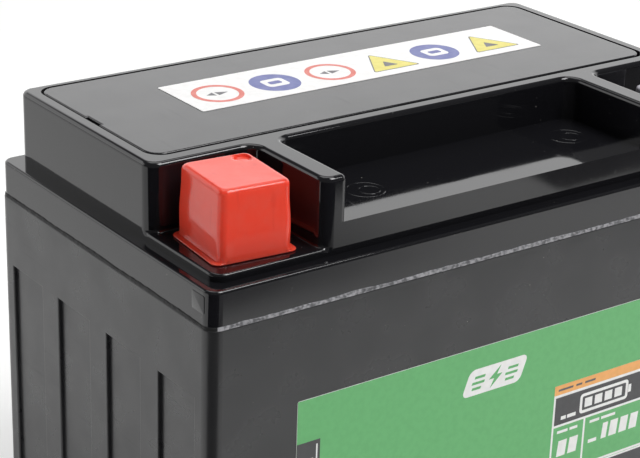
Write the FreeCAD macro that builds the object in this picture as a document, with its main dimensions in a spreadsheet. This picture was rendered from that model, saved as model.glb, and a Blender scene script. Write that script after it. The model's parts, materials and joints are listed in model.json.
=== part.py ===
"""Sealed glass-mat motorcycle battery, as an assembly of its separate pieces.

Frame: millimetres, +X along the case towards the negative terminal, +Y towards
the back, +Z up.  The origin is the centre of the underside of the case.
"""

import FreeCAD, Part
import os

import Sketcher

from FreeCAD import Rotation, Vector

CELLS = 6
POSITIVE_PLATES = 4
NEGATIVE_PLATES = POSITIVE_PLATES + 1
FLUTES = 4
SAME_PLACE = 1e-4  # millimetres within which two places count as one

# name, millimetres (or degrees), what it is
SIZES = [
    ("case_length", 150.0, "case, along X"),
    ("case_width", 87.0, "case, along Y"),
    ("case_height", 80.35, "underside of the case to the seam with the lid"),
    ("case_wall", 2.4, "outer walls and floor of the case"),
    ("case_corner", 3.0, "radius of the case's upright corners"),
    ("case_foot_radius", 1.2, "rounding round the underside of the case"),
    ("case_rim_radius", 0.3, "rounding of the case's top edge"),
    ("partition", 1.4, "wall between two cells"),
    ("flute_pitch", 20.8, "end-wall flutes, centre to centre"),
    ("flute_width", 13.4, "one flute, along Y"),
    ("flute_depth", 0.8, "one flute, along X"),
    ("flute_edge_radius", 0.4, "rounding of the flutes' outer edges"),
    ("flute_bottom", 9.0, "lower end of the flutes, above the underside"),
    ("flute_top_drop", 16.05, "upper end of the flutes, below the seam"),
    ("panel_margin", 9.2, "end of the case to the edge of the sunk label panel"),
    ("panel_depth", 0.3, "how far the label panels are sunk"),
    ("panel_bottom", 5.0, "lower edge of the label panels"),
    ("panel_top_drop", 1.2, "upper edge of the label panels, below the seam"),
    ("skirt_step", 0.3, "how far the lid's skirt stands in from the case"),
    ("skirt_height", 8.05, "seam to the ledge of the lid"),
    ("skirt_corner", 2.8, "radius of the skirt's upright corners"),
    ("lid_wall", 2.4, "walls, floors and ceilings of the lid"),
    ("block_height", 16.6, "ledge to the top of the lid"),
    ("block_inset", 3.2, "skirt to the raised block of the lid"),
    ("block_corner", 3.0, "radius of the raised block's upright corners"),
    ("lid_edge_radius", 1.1, "rounding of the raised block's top edges"),
    ("ledge_edge_radius", 0.6, "rounding of the ledge and plinth edges"),
    ("well_length", 24.9, "terminal well, along X from the block's end"),
    ("well_depth", 24.5, "terminal well, along Y from the block's front"),
    ("well_floor_rise", 1.7, "ledge to the floor of a terminal well"),
    ("well_corner", 3.0, "radius of the corners of the wells and the recess"),
    ("rib_thickness", 5.8, "rib between a terminal well and the centre recess"),
    ("rib_nose_outer", 2.8, "rounding of the rib's front end, well side"),
    ("rib_nose_inner", 1.2, "rounding of the rib's front end, recess side"),
    ("recess_depth", 9.85, "top of the lid to the floor of the centre recess"),
    ("recess_back_drop", 24.8, "centre recess, along Y from the block's front"),
    ("cover_margin", 2.9, "block to the vent cover's seat, ends"),
    ("cover_back_margin", 2.0, "block to the vent cover's seat, back"),
    ("cover_land", 3.4, "terminal well to the vent cover's seat"),
    ("cover_gap", 0.55, "gap round the vent cover, ends and back"),
    ("cover_front_gap", 1.1, "gap in front of the vent cover"),
    ("cover_thickness", 2.0, "vent cover plate"),
    ("cover_corner", 3.6, "radius of the vent cover's corners"),
    ("cover_edge_radius", 0.4, "rounding of the vent cover's top edge"),
    ("cover_shelf", 3.0, "shelf that carries the vent cover"),
    ("cover_notch_length", 5.8, "pry notch in the vent cover's left end"),
    ("cover_notch_depth", 0.7, "pry notch, into the cover"),
    ("cover_notch_offset", 0.5, "pry notch, behind the middle of the cover"),
    ("pan_depth", 8.5, "shelf to the floor of the valve pan"),
    ("stub_radius", 4.5, "vent stub, outside"),
    ("stub_bore_radius", 2.5, "vent stub, bore"),
    ("stub_height", 5.6, "vent stub, above the pan floor"),
    ("valve_wall", 1.4, "side wall of a rubber valve cap"),
    ("valve_top", 1.4, "top of a rubber valve cap"),
    ("valve_edge_gap", 1.0, "valve cap to the end of the pan"),
    ("valve_head_room", 0.4, "valve cap to the cover's hold-down ring"),
    ("hold_down_radius", 3.6, "hold-down ring under the vent cover"),
    ("hold_down_wall", 1.0, "wall of the hold-down ring"),
    ("terminal_length", 10.5, "terminal block, along X"),
    ("terminal_width", 12.0, "terminal block, along Y"),
    ("terminal_height", 12.2, "terminal block, above the well floor"),
    ("terminal_end_offset", 11.5, "block's end to the terminal's centre"),
    ("terminal_front_offset", 12.4, "block's front to the terminal's centre"),
    ("terminal_base", 2.0, "terminal, below the nut window"),
    ("terminal_corner", 1.6, "radius of the terminal's upright edges"),
    ("terminal_edge_radius", 0.7, "rounding of the terminal's top edges"),
    ("screw_hole_radius", 2.75, "clearance holes of the terminal"),
    ("nut_width", 8.0, "square nut, across flats"),
    ("nut_thickness", 2.7, "square nut"),
    ("nut_thread_radius", 2.1, "thread of the nut, minor radius"),
    ("nut_clearance", 0.15, "nut to the window of the terminal, each side"),
    ("post_radius", 3.5, "lead post below a terminal"),
    ("post_clearance", 0.1, "post to its hole in the lid"),
    ("post_foot_radius", 5.0, "foot of the post, on the strap"),
    ("post_foot_height", 2.0, "height of the post's foot"),
    ("gland_radius", 6.0, "counterbore round a post, under the well floor"),
    ("gland_wall", 2.0, "boss round the counterbore"),
    ("gland_depth", 4.6, "counterbore, measured up from the boss's end"),
    ("gland_boss", 4.0, "boss below the well floor's underside"),
    ("resin_depth", 2.0, "potting resin in the counterbore"),
    ("seal_clearance", 0.05, "seal ring to post and counterbore"),
    ("cap_length", 16.2, "terminal cap at its foot, across"),
    ("cap_width", 18.6, "terminal cap at its foot, front to back"),
    ("cap_height", 15.2, "terminal cap"),
    ("cap_wall", 1.4, "terminal cap, sides and top"),
    ("cap_taper", 1.0, "degrees that each side of the cap leans in"),
    ("cap_corner", 1.7, "radius of the cap's upright edges"),
    ("cap_edge_radius", 1.1, "rounding of the cap's top edges"),
    ("cap_turn", -4.8, "degrees that the loose cap sits turned"),
    ("cap_shift", 0.8, "loose cap to the terminal's centre, along X"),
    ("cap_seat_gap", 0.1, "cap's foot to the well floor"),
    ("cap_lip_side", 2.1, "foot lip of the cap, left and right"),
    ("cap_lip_front", 0.7, "foot lip of the cap, front and back"),
    ("cap_lip_height", 0.9, "thickness of the foot lip"),
    ("cap_dimple_radius", 1.9, "probe dimple in the cap's top"),
    ("cap_dimple_depth", 0.6, "probe dimple in the cap's top"),
    ("cap_dimple_margin", 0.9, "probe dimple to the cap's sides"),
    ("front_label_length", 107.6, "front label, along X"),
    ("front_label_bottom", 9.0, "lower edge of the front label"),
    ("front_label_drop", 20.55, "upper edge of the front label, below the seam"),
    ("front_label_thickness", 0.2, "front label film"),
    ("cover_label_length", 96.0, "cover label, along X"),
    ("cover_label_width", 18.8, "cover label, along Y"),
    ("cover_label_thickness", 0.15, "cover label film"),
    ("cover_label_shift_x", 3.0, "cover label, from the middle of the cover"),
    ("cover_label_shift_y", 2.8, "cover label, from the middle of the cover"),
    ("head_space", 17.0, "top of the plates to the seam"),
    ("plate_side_gap", 2.2, "plate to the side wall of its cell"),
    ("positive_plate", 2.1, "positive plate, thickness"),
    ("negative_plate", 1.5, "negative plate, thickness"),
    ("stack_gap", 0.16, "end plate to the wall of its cell"),
    ("mat_overhang", 1.2, "glass mat beyond the plate's edge"),
    ("lug_width", 9.0, "plate lug, along Y"),
    ("lug_height", 3.6, "top of the plate to the strap"),
    ("strap_width", 12.0, "strap, along Y"),
    ("strap_height", 4.5, "strap"),
    ("strap_gap", 0.6, "strap to the wall of its cell"),
    ("tombstone", 2.4, "upright lug of a strap, along X"),
    ("tombstone_gap", 1.2, "upright lug to the seam"),
    ("weld_radius", 3.2, "weld through a partition"),
    ("weld_clearance", 0.05, "weld to its hole in the partition"),
]

DOC = FreeCAD.newDocument("MotorcycleBattery")
SUB_PARTS = []

# Places that more than one piece uses, as expressions of the sheet
SEAM = "sizes.case_height"
LEDGE = f"({SEAM} + sizes.skirt_height)"
LID_TOP = f"({LEDGE} + sizes.block_height)"
WELL_FLOOR = f"({LEDGE} + sizes.well_floor_rise)"
SHELF = f"({LID_TOP} - sizes.cover_thickness)"
PAN_FLOOR = f"({SHELF} - sizes.pan_depth)"
CASE_END = "(sizes.case_length / 2)"
CASE_SIDE = "(sizes.case_width / 2)"
SKIRT_END = f"({CASE_END} - sizes.skirt_step)"
SKIRT_SIDE = f"({CASE_SIDE} - sizes.skirt_step)"
BLOCK_END = f"({SKIRT_END} - sizes.block_inset)"
BLOCK_SIDE = f"({SKIRT_SIDE} - sizes.block_inset)"
WELL_WALL = f"({BLOCK_END} - sizes.well_length)"
WELL_BACK = f"(sizes.well_depth - {BLOCK_SIDE})"
RECESS_END = f"({WELL_WALL} - sizes.rib_thickness)"
RECESS_BACK = f"(sizes.recess_back_drop - {BLOCK_SIDE})"
SEAT_END = f"({BLOCK_END} - sizes.cover_margin)"
SEAT_FRONT = f"({WELL_BACK} + sizes.cover_land)"
SEAT_BACK = f"({BLOCK_SIDE} - sizes.cover_back_margin)"
PAN_END = f"({SEAT_END} - sizes.cover_shelf)"
VENT_LINE = f"(({SEAT_FRONT} + {SEAT_BACK}) / 2)"
VALVE_RADIUS = "(sizes.stub_radius + sizes.valve_wall)"
CELL_LENGTH = (
    f"((sizes.case_length - 2 * sizes.case_wall - {CELLS - 1} * sizes.partition) / {CELLS})"
)
CELL_SIDE = f"({CASE_SIDE} - sizes.case_wall)"
TERMINAL_X = f"({BLOCK_END} - sizes.terminal_end_offset)"
TERMINAL_Y = f"({BLOCK_SIDE} - sizes.terminal_front_offset)"
WINDOW = "(sizes.nut_width + 2 * sizes.nut_clearance)"
WINDOW_FLOOR = f"({WELL_FLOOR} + sizes.terminal_base)"
TERMINAL_WALL = f"((sizes.terminal_width - {WINDOW}) / 2)"
SCREW_Z = f"({WINDOW_FLOOR} + sizes.nut_width / 2)"
MAT = (
    f"(({CELL_LENGTH} - 2 * sizes.stack_gap - {POSITIVE_PLATES} * sizes.positive_plate"
    f" - {NEGATIVE_PLATES} * sizes.negative_plate) / {2 * POSITIVE_PLATES})"
)
PLATE_PITCH = f"(sizes.positive_plate + sizes.negative_plate + 2 * {MAT})"
PLATE_FOOT = f"(sizes.case_wall + {MAT})"
PLATE_TOP = f"({SEAM} - sizes.head_space)"
PLATE_SIDE = f"({CELL_SIDE} - sizes.plate_side_gap)"
STRAP_FOOT = f"({PLATE_TOP} + sizes.lug_height)"
STRAP_TOP = f"({STRAP_FOOT} + sizes.strap_height)"
TOMBSTONE_TOP = f"({SEAM} - sizes.tombstone_gap)"
WELD_Z = f"(({STRAP_TOP} + {TOMBSTONE_TOP}) / 2)"


def make_sheet():
    """The driving dimensions, one row each."""
    sheet = DOC.addObject("Spreadsheet::Sheet", "sizes")
    for row, (alias, value, meaning) in enumerate(SIZES, start=1):
        sheet.set(f"A{row}", meaning)
        sheet.set(f"B{row}", str(value))
        sheet.setAlias(f"B{row}", alias)
    DOC.recompute()
    return sheet


SHEET = make_sheet()


def number(expression):
    """What an expression of the sheet comes to now."""
    result = SHEET.evalExpression(expression)
    return float(getattr(result, "Value", result))


def cell_centre(index):
    """Middle of a cell along X; cells count from the positive end."""
    return f"(({index} - {(CELLS - 1) / 2}) * ({CELL_LENGTH} + sizes.partition))"


def vent_place(index):
    """Middle of a vent along X: over its cell, and clear of the pan's ends."""
    centre = cell_centre(index)
    reach = f"({PAN_END} - {VALVE_RADIUS} - sizes.valve_edge_gap)"
    return f"max(-{reach}; min({reach}; {centre}))"


# ---------------------------------------------------------------- helpers


def add_body(label):
    body = DOC.addObject("PartDesign::Body", label)
    body.Label = label
    SUB_PARTS.append(body)
    return body


def plane_of(body, role):
    for feature in body.Origin.OriginFeatures:
        if feature.Role == role:
            return feature
    raise ValueError(f"{body.Label} has no {role}")


def place_sketch(body, name, role, x="0", y="0", z="0"):
    """A sketch on one of the body's origin planes, moved by x, y and z in that plane's axes."""
    sketch = body.newObject("Sketcher::SketchObject", name)
    sketch.AttachmentSupport = [(plane_of(body, role), "")]
    sketch.MapMode = "FlatFace"
    for axis, expression in zip("xyz", (x, y, z)):
        sketch.setExpression(f"AttachmentOffset.Base.{axis}", expression)
    return sketch


def add_rule(sketch, name, *rule, value=None):
    """One constraint, named and bound to an expression when it has a value."""
    if value is None:
        sketch.addConstraint(Sketcher.Constraint(*rule))
        return
    index = sketch.addConstraint(Sketcher.Constraint(*rule, number(value)))
    sketch.renameConstraint(index, name)
    sketch.setExpression(f"Constraints.{name}", value)


def add_rectangle(sketch, tag, low_x, low_y, length, width):
    """A rectangle whose low corner stands at low_x, low_y (0 or more) from the sketch's origin."""
    x0, y0 = number(low_x), number(low_y)
    x1, y1 = x0 + number(length), y0 + number(width)
    corners = [Vector(x0, y0, 0), Vector(x1, y0, 0), Vector(x1, y1, 0), Vector(x0, y1, 0)]
    first = sketch.GeometryCount
    for here, there in zip(corners, corners[1:] + corners[:1]):
        sketch.addGeometry(Part.LineSegment(here, there), False)
    for side in range(4):
        add_rule(sketch, "", "Coincident", first + side, 2, first + (side + 1) % 4, 1)
        add_rule(sketch, "", "Vertical" if side % 2 else "Horizontal", first + side)
    place_point(sketch, tag, first, 1, low_x, low_y)
    add_rule(sketch, f"{tag}_length", "DistanceX", first, 1, first, 2, value=length)
    add_rule(sketch, f"{tag}_width", "DistanceY", first + 1, 1, first + 1, 2, value=width)


def place_point(sketch, tag, geometry, end, x, y):
    """Ties a point to the sketch's origin; a zero distance is a point on the axis."""
    for name, kind, expression, axis in (("x", "DistanceX", x, -2), ("y", "DistanceY", y, -1)):
        if expression == "0":
            add_rule(sketch, "", "PointOnObject", geometry, end, axis)
        else:
            add_rule(sketch, f"{tag}_{name}", kind, -1, 1, geometry, end, value=expression)


def add_circle(sketch, tag, x, y, radius):
    """A circle whose centre stands at x, y (0 or more) from the sketch's origin."""
    centre = Vector(number(x), number(y), 0)
    index = sketch.addGeometry(Part.Circle(centre, Vector(0, 0, 1), number(radius)), False)
    place_point(sketch, tag, index, 3, x, y)
    add_rule(sketch, f"{tag}_radius", "Radius", index, value=radius)


def sweep_sketch(body, kind, name, sketch, length, reverse=False):
    """A Pad or a Pocket, checked to have changed the body's volume."""
    before = body.Shape.Volume if body.Tip else 0.0
    feature = body.newObject(f"PartDesign::{kind}", name)
    feature.Profile = sketch
    feature.setExpression("Length", length)
    feature.Reversed = reverse
    DOC.recompute()
    gained = body.Shape.Volume - before
    if (kind == "Pad" and gained <= 0) or (kind == "Pocket" and gained >= 0):
        raise ValueError(f"{body.Label}: {name} changed the volume by {gained}")
    return feature


def pad(body, name, sketch, length, reverse=False):
    return sweep_sketch(body, "Pad", name, sketch, length, reverse)


def pocket(body, name, sketch, length, reverse=False):
    return sweep_sketch(body, "Pocket", name, sketch, length, reverse)


def edge_names(shape, test):
    return [f"Edge{i}" for i, edge in enumerate(shape.Edges, start=1) if test(edge)]


def near(value, target):
    return abs(value - target) < SAME_PLACE


def is_upright(edge):
    ends = [vertex.Point for vertex in edge.Vertexes]
    if len(ends) != 2:
        return False
    return near(ends[0].x, ends[1].x) and near(ends[0].y, ends[1].y)


def upright_at(places):
    """Test for straight upright edges at any of the (x, y) places, given as expressions."""
    points = [(number(x), number(y)) for x, y in places]

    def test(edge):
        start = edge.Vertexes[0].Point
        hit = any(near(start.x, x) and near(start.y, y) for x, y in points)
        return hit and is_upright(edge)

    return test


def on_level(height):
    """Test for edges that lie in the horizontal plane at an expression's height."""
    level = number(height)

    def test(edge):
        return near(edge.BoundBox.ZMin, level) and near(edge.BoundBox.ZMax, level)

    return test


def fillet(body, name, radius, test):
    """Rounds the edges of the body's tip that pass the test."""
    DOC.recompute()
    names = edge_names(body.Tip.Shape, test)
    if not names:
        raise ValueError(f"{body.Label}: {name} found no edge")
    base = body.Tip
    feature = body.newObject("PartDesign::Fillet", name)
    feature.Base = (base, names)
    feature.setExpression("Radius", radius)
    DOC.recompute()
    return feature


def corners_of(end, side):
    """The four (x, y) corners of a rectangle centred on the origin."""
    return [(x, y) for x in (end, f"-{end}") for y in (side, f"-{side}")]


def add_primitive(kind, name, sizes, place=("0", "0", "0")):
    """A Part primitive whose sizes and place are bound to the sheet."""
    solid = DOC.addObject(f"Part::{kind}", name)
    for key, expression in sizes.items():
        solid.setExpression(key, expression)
    for axis, expression in zip("xyz", place):
        solid.setExpression(f"Placement.Base.{axis}", expression)
    return solid


def add_box(name, low, size):
    """A box from its low corner and its three sizes."""
    return add_primitive("Box", name, dict(zip(("Length", "Width", "Height"), size)), low)


def add_cut(name, base, tool):
    cut = DOC.addObject("Part::Cut", name)
    cut.Base = base
    cut.Tool = tool
    return cut


def keep(sub_part, label):
    sub_part.Label = label
    SUB_PARTS.append(sub_part)
    return sub_part


# ------------------------------------------------------------------- case


def partition_side(index):
    """Which side the link through a partition is on: back first, then front, in turn."""
    return "" if index % 2 == 0 else "-"


def is_flute_edge():
    """Test for the edges where the flutes meet the end faces of the case."""
    end, low = number(CASE_END), number("sizes.flute_bottom")
    high = number(f"{SEAM} - sizes.flute_top_drop")

    def test(edge):
        box = edge.BoundBox
        on_end = near(box.XMin, box.XMax) and near(abs(box.XMin), end)
        return on_end and box.ZMin > low - SAME_PLACE and box.ZMax < high + SAME_PLACE

    return test


def make_case():
    body = add_body("case")
    outline = place_sketch(body, "CaseOutline", "XY_Plane", f"-{CASE_END}", f"-{CASE_SIDE}")
    add_rectangle(outline, "case", "0", "0", "sizes.case_length", "sizes.case_width")
    pad(body, "CaseBlock", outline, SEAM)
    fillet(body, "CaseCorners", "sizes.case_corner", upright_at(corners_of(CASE_END, CASE_SIDE)))
    fillet(body, "CaseFoot", "sizes.case_foot_radius", on_level("0"))
    fillet(body, "CaseRim", "sizes.case_rim_radius", on_level(SEAM))

    cells = place_sketch(
        body, "Cells", "XY_Plane", f"sizes.case_wall - {CASE_END}", f"-{CELL_SIDE}", SEAM
    )
    for index in range(CELLS):
        low = "0" if index == 0 else f"{index} * ({CELL_LENGTH} + sizes.partition)"
        add_rectangle(cells, f"cell{index}", low, "0", CELL_LENGTH, f"2 * {CELL_SIDE}")
    pocket(body, "CellCavities", cells, f"{SEAM} - sizes.case_wall")

    for end, sign in (("Left", "-"), ("Right", "")):
        span = f"({FLUTES - 1} * sizes.flute_pitch + sizes.flute_width)"
        flutes = place_sketch(
            body, f"{end}Flutes", "YZ_Plane", f"-{span} / 2", "0", f"{sign}{CASE_END}"
        )
        for index in range(FLUTES):
            low = "0" if index == 0 else f"{index} * sizes.flute_pitch"
            tall = f"{SEAM} - sizes.flute_top_drop - sizes.flute_bottom"
            add_rectangle(
                flutes, f"flute{index}", low, "sizes.flute_bottom", "sizes.flute_width", tall
            )
        pocket(body, f"{end}FluteCuts", flutes, "sizes.flute_depth", reverse=end == "Left")
    fillet(body, "FluteEdges", "sizes.flute_edge_radius", is_flute_edge())

    for side, sign in (("Front", ""), ("Back", "-")):
        panel = place_sketch(
            body, f"{side}Panel", "XZ_Plane", f"sizes.panel_margin - {CASE_END}", "0",
            f"{sign}{CASE_SIDE}",
        )
        wide = "sizes.case_length - 2 * sizes.panel_margin"
        tall = f"{SEAM} - sizes.panel_top_drop - sizes.panel_bottom"
        add_rectangle(panel, "panel", "0", "sizes.panel_bottom", wide, tall)
        pocket(body, f"{side}PanelCut", panel, "sizes.panel_depth", reverse=side == "Back")

    for index in range(CELLS - 1):
        left_face = f"({cell_centre(index)} + {CELL_LENGTH} / 2)"
        window = place_sketch(
            body, f"LinkHole{index + 1}", "YZ_Plane",
            f"{partition_side(index)}{TERMINAL_Y}", "0", left_face,
        )
        add_circle(window, "hole", "0", WELD_Z, "sizes.weld_radius + sizes.weld_clearance")
        pocket(body, f"LinkHoleCut{index + 1}", window, "sizes.partition", reverse=True)
    return body


# -------------------------------------------------------------------- lid


def cell_cavities(body, name, start, rise, front, back, reach, cells):
    """Pockets the lid's underside, one rectangle a cell, kept inside +-reach along X."""
    sketch = place_sketch(body, name, "XY_Plane", f"-{reach}", front, start)
    for index in cells:
        low = f"max({cell_centre(index)} - {CELL_LENGTH} / 2; -{reach})"
        high = f"min({cell_centre(index)} + {CELL_LENGTH} / 2; {reach})"
        shift = "0" if near(number(f"{low} + {reach}"), 0) else f"{low} + {reach}"
        add_rectangle(sketch, f"cell{index}", shift, "0", f"{high} - {low}", f"{back} - {front}")
    pocket(body, f"{name}Cut", sketch, rise, reverse=True)


def make_lid():
    body = add_body("lid")
    skirt = place_sketch(body, "SkirtOutline", "XY_Plane", f"-{SKIRT_END}", f"-{SKIRT_SIDE}", SEAM)
    add_rectangle(skirt, "skirt", "0", "0", f"2 * {SKIRT_END}", f"2 * {SKIRT_SIDE}")
    pad(body, "Skirt", skirt, "sizes.skirt_height")
    fillet(body, "SkirtCorners", "sizes.skirt_corner", upright_at(corners_of(SKIRT_END, SKIRT_SIDE)))
    fillet(body, "LedgeEdge", "sizes.ledge_edge_radius", on_level(LEDGE))

    block = place_sketch(body, "BlockOutline", "XY_Plane", f"-{BLOCK_END}", f"-{BLOCK_SIDE}", LEDGE)
    add_rectangle(block, "block", "0", "0", f"2 * {BLOCK_END}", f"2 * {BLOCK_SIDE}")
    pad(body, "Block", block, "sizes.block_height")
    fillet(body, "BlockCorners", "sizes.block_corner", upright_at(corners_of(BLOCK_END, BLOCK_SIDE)))

    cut_top_hollows(body)
    round_top_edges(body)
    cut_valve_pan(body)
    cut_underside(body)
    make_glands(body)
    return body


def cut_top_hollows(body):
    """Terminal wells, centre recess and the corners round them."""
    deep = f"{LID_TOP} - {WELL_FLOOR}"
    for end in ("Left", "Right"):
        start = f"-{SKIRT_END}" if end == "Left" else WELL_WALL
        well = place_sketch(body, f"{end}Well", "XY_Plane", start, f"-{SKIRT_SIDE}", LID_TOP)
        long = f"{SKIRT_END} - {WELL_WALL}"
        add_rectangle(well, "well", "0", "0", long, f"{WELL_BACK} + {SKIRT_SIDE}")
        pocket(body, f"{end}WellCut", well, deep)
    recess = place_sketch(
        body, "CentreRecess", "XY_Plane", f"-{RECESS_END}", f"-{SKIRT_SIDE}", LID_TOP
    )
    add_rectangle(
        recess, "recess", "0", "0", f"2 * {RECESS_END}", f"{RECESS_BACK} + {SKIRT_SIDE}"
    )
    pocket(body, "CentreRecessCut", recess, "sizes.recess_depth")

    inner = [(f"{s}{WELL_WALL}", WELL_BACK) for s in ("", "-")]
    inner += [(f"{s}{RECESS_END}", RECESS_BACK) for s in ("", "-")]
    inner += [(f"{s}{BLOCK_END}", WELL_BACK) for s in ("", "-")]
    fillet(body, "HollowCorners", "sizes.well_corner", upright_at(inner))
    front = f"-{BLOCK_SIDE}"
    outer_nose = [(f"{s}{WELL_WALL}", front) for s in ("", "-")]
    fillet(body, "RibNoseOuter", "sizes.rib_nose_outer", upright_at(outer_nose))
    inner_nose = [(f"{s}{RECESS_END}", front) for s in ("", "-")]
    fillet(body, "RibNoseInner", "sizes.rib_nose_inner", upright_at(inner_nose))


def round_top_edges(body):
    """Roundings of the block's top, the plinths and the recess's front edge."""
    fillet(body, "TopEdges", "sizes.lid_edge_radius", on_level(LID_TOP))
    level = on_level(WELL_FLOOR)
    end, front = number(BLOCK_END), -number(BLOCK_SIDE)
    back = number(f"{WELL_BACK} - sizes.well_corner")

    def plinth_edge(edge):
        box = edge.BoundBox
        outside = near(box.YMin, front) or near(box.XMin, -end) or near(box.XMax, end)
        return level(edge) and outside and box.YMin < back

    fillet(body, "PlinthEdges", "sizes.ledge_edge_radius", plinth_edge)


def cut_valve_pan(body):
    """Seat of the vent cover, the pan below it and the six vent stubs."""
    deep = f"({SEAT_BACK} - {SEAT_FRONT})"
    seat = place_sketch(body, "CoverSeat", "XY_Plane", f"-{SEAT_END}", SEAT_FRONT, LID_TOP)
    add_rectangle(seat, "seat", "0", "0", f"2 * {SEAT_END}", deep)
    pocket(body, "CoverSeatCut", seat, "sizes.cover_thickness")
    seat_corners = [(x, y) for x in (SEAT_END, f"-{SEAT_END}") for y in (SEAT_FRONT, SEAT_BACK)]
    fillet(
        body, "SeatCorners", "sizes.cover_corner + sizes.cover_gap", upright_at(seat_corners)
    )

    front = f"{SEAT_FRONT} + sizes.cover_shelf"
    pan = place_sketch(body, "ValvePan", "XY_Plane", f"-{PAN_END}", front, SHELF)
    add_rectangle(pan, "pan", "0", "0", f"2 * {PAN_END}", f"{deep} - 2 * sizes.cover_shelf")
    pocket(body, "ValvePanCut", pan, "sizes.pan_depth")

    low = f"({PAN_FLOOR} - sizes.lid_wall)"
    for index in range(CELLS):
        stub = place_sketch(
            body, f"Stub{index + 1}", "XY_Plane", vent_place(index), VENT_LINE, PAN_FLOOR
        )
        add_circle(stub, "stub", "0", "0", "sizes.stub_radius")
        pad(body, f"StubPad{index + 1}", stub, "sizes.stub_height")
    for index in range(CELLS):
        bore = place_sketch(
            body, f"StubBore{index + 1}", "XY_Plane", vent_place(index), VENT_LINE,
            f"{PAN_FLOOR} + sizes.stub_height",
        )
        add_circle(bore, "bore", "0", "0", "sizes.stub_bore_radius")
        pocket(body, f"StubBoreCut{index + 1}", bore, f"{PAN_FLOOR} + sizes.stub_height - {low}")


def cut_underside(body):
    """Hollows the lid from below, leaving the ribs that meet the case's partitions."""
    every = range(CELLS)
    middle = [i for i in every if abs(number(cell_centre(i))) < number(WELL_WALL)]
    skirt_end = f"({SKIRT_END} - sizes.lid_wall)"
    skirt_side = f"({SKIRT_SIDE} - sizes.lid_wall)"
    block_end = f"({BLOCK_END} - sizes.lid_wall)"
    block_side = f"({BLOCK_SIDE} - sizes.lid_wall)"
    low = f"({LEDGE} - sizes.lid_wall)"
    well_ceiling = f"({WELL_FLOOR} - sizes.lid_wall)"
    ceiling = f"({PAN_FLOOR} - sizes.lid_wall)"
    behind = f"({WELL_BACK} + sizes.lid_wall)"
    cell_cavities(
        body, "SkirtCavity", SEAM, f"{low} - {SEAM}", f"-{skirt_side}", skirt_side, skirt_end, every
    )
    cell_cavities(
        body, "BlockCavity", low, f"{well_ceiling} - {low}", f"-{block_side}", block_side,
        block_end, every,
    )
    cell_cavities(
        body, "BackCavity", well_ceiling, f"{ceiling} - {well_ceiling}", behind, block_side,
        block_end, every,
    )
    cell_cavities(
        body, "RecessCavity", well_ceiling, f"{ceiling} - {well_ceiling}", f"-{block_side}",
        behind, RECESS_END, middle,
    )


def make_glands(body):
    """Boss, counterbore and hole for each lead post."""
    under = f"({WELL_FLOOR} - sizes.lid_wall)"
    foot = f"({under} - sizes.gland_boss)"
    boss_radius = "sizes.gland_radius + sizes.gland_wall"
    hole_radius = "sizes.post_radius + sizes.post_clearance"
    for end, sign in (("Left", "-"), ("Right", "")):
        where = (f"{sign}{TERMINAL_X}", f"-{TERMINAL_Y}")
        boss = place_sketch(body, f"{end}Gland", "XY_Plane", *where, foot)
        add_circle(boss, "boss", "0", "0", boss_radius)
        pad(body, f"{end}GlandBoss", boss, "sizes.gland_boss")
        bore = place_sketch(body, f"{end}GlandBore", "XY_Plane", *where, foot)
        add_circle(bore, "bore", "0", "0", "sizes.gland_radius")
        pocket(body, f"{end}GlandBoreCut", bore, "sizes.gland_depth", reverse=True)
        hole = place_sketch(body, f"{end}PostHole", "XY_Plane", *where, WELL_FLOOR)
        add_circle(hole, "hole", "0", "0", hole_radius)
        pocket(body, f"{end}PostHoleCut", hole, f"{WELL_FLOOR} - {foot}")


# ------------------------------------------------------- cover and valves


def make_vent_cover():
    body = add_body("vent_cover")
    end = f"({SEAT_END} - sizes.cover_gap)"
    front = f"({SEAT_FRONT} + sizes.cover_front_gap)"
    back = f"({SEAT_BACK} - sizes.cover_gap)"
    plate = place_sketch(body, "CoverOutline", "XY_Plane", f"-{end}", front, SHELF)
    add_rectangle(plate, "cover", "0", "0", f"2 * {end}", f"{back} - {front}")
    pad(body, "CoverPlate", plate, "sizes.cover_thickness")
    corners = [(x, y) for x in (end, f"-{end}") for y in (front, back)]
    fillet(body, "CoverCorners", "sizes.cover_corner", upright_at(corners))

    notch = place_sketch(
        body, "PryNotch", "XY_Plane", f"-{end}", f"{VENT_LINE} + sizes.cover_notch_offset"
        " - sizes.cover_notch_length / 2", LID_TOP,
    )
    add_rectangle(
        notch, "notch", "0", "0", "sizes.cover_notch_depth", "sizes.cover_notch_length"
    )
    pocket(body, "PryNotchCut", notch, "sizes.cover_thickness")
    fillet(body, "CoverEdge", "sizes.cover_edge_radius", on_level(LID_TOP))

    valve_top = f"({PAN_FLOOR} + sizes.stub_height + sizes.valve_top)"
    drop = f"{SHELF} - {valve_top} - sizes.valve_head_room"
    for index in range(CELLS):
        ring = place_sketch(
            body, f"HoldDown{index + 1}", "XY_Plane", vent_place(index), VENT_LINE, SHELF
        )
        add_circle(ring, "outer", "0", "0", "sizes.hold_down_radius")
        add_circle(ring, "inner", "0", "0", "sizes.hold_down_radius - sizes.hold_down_wall")
        pad(body, f"HoldDownPad{index + 1}", ring, drop, reverse=True)
    return body


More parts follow.
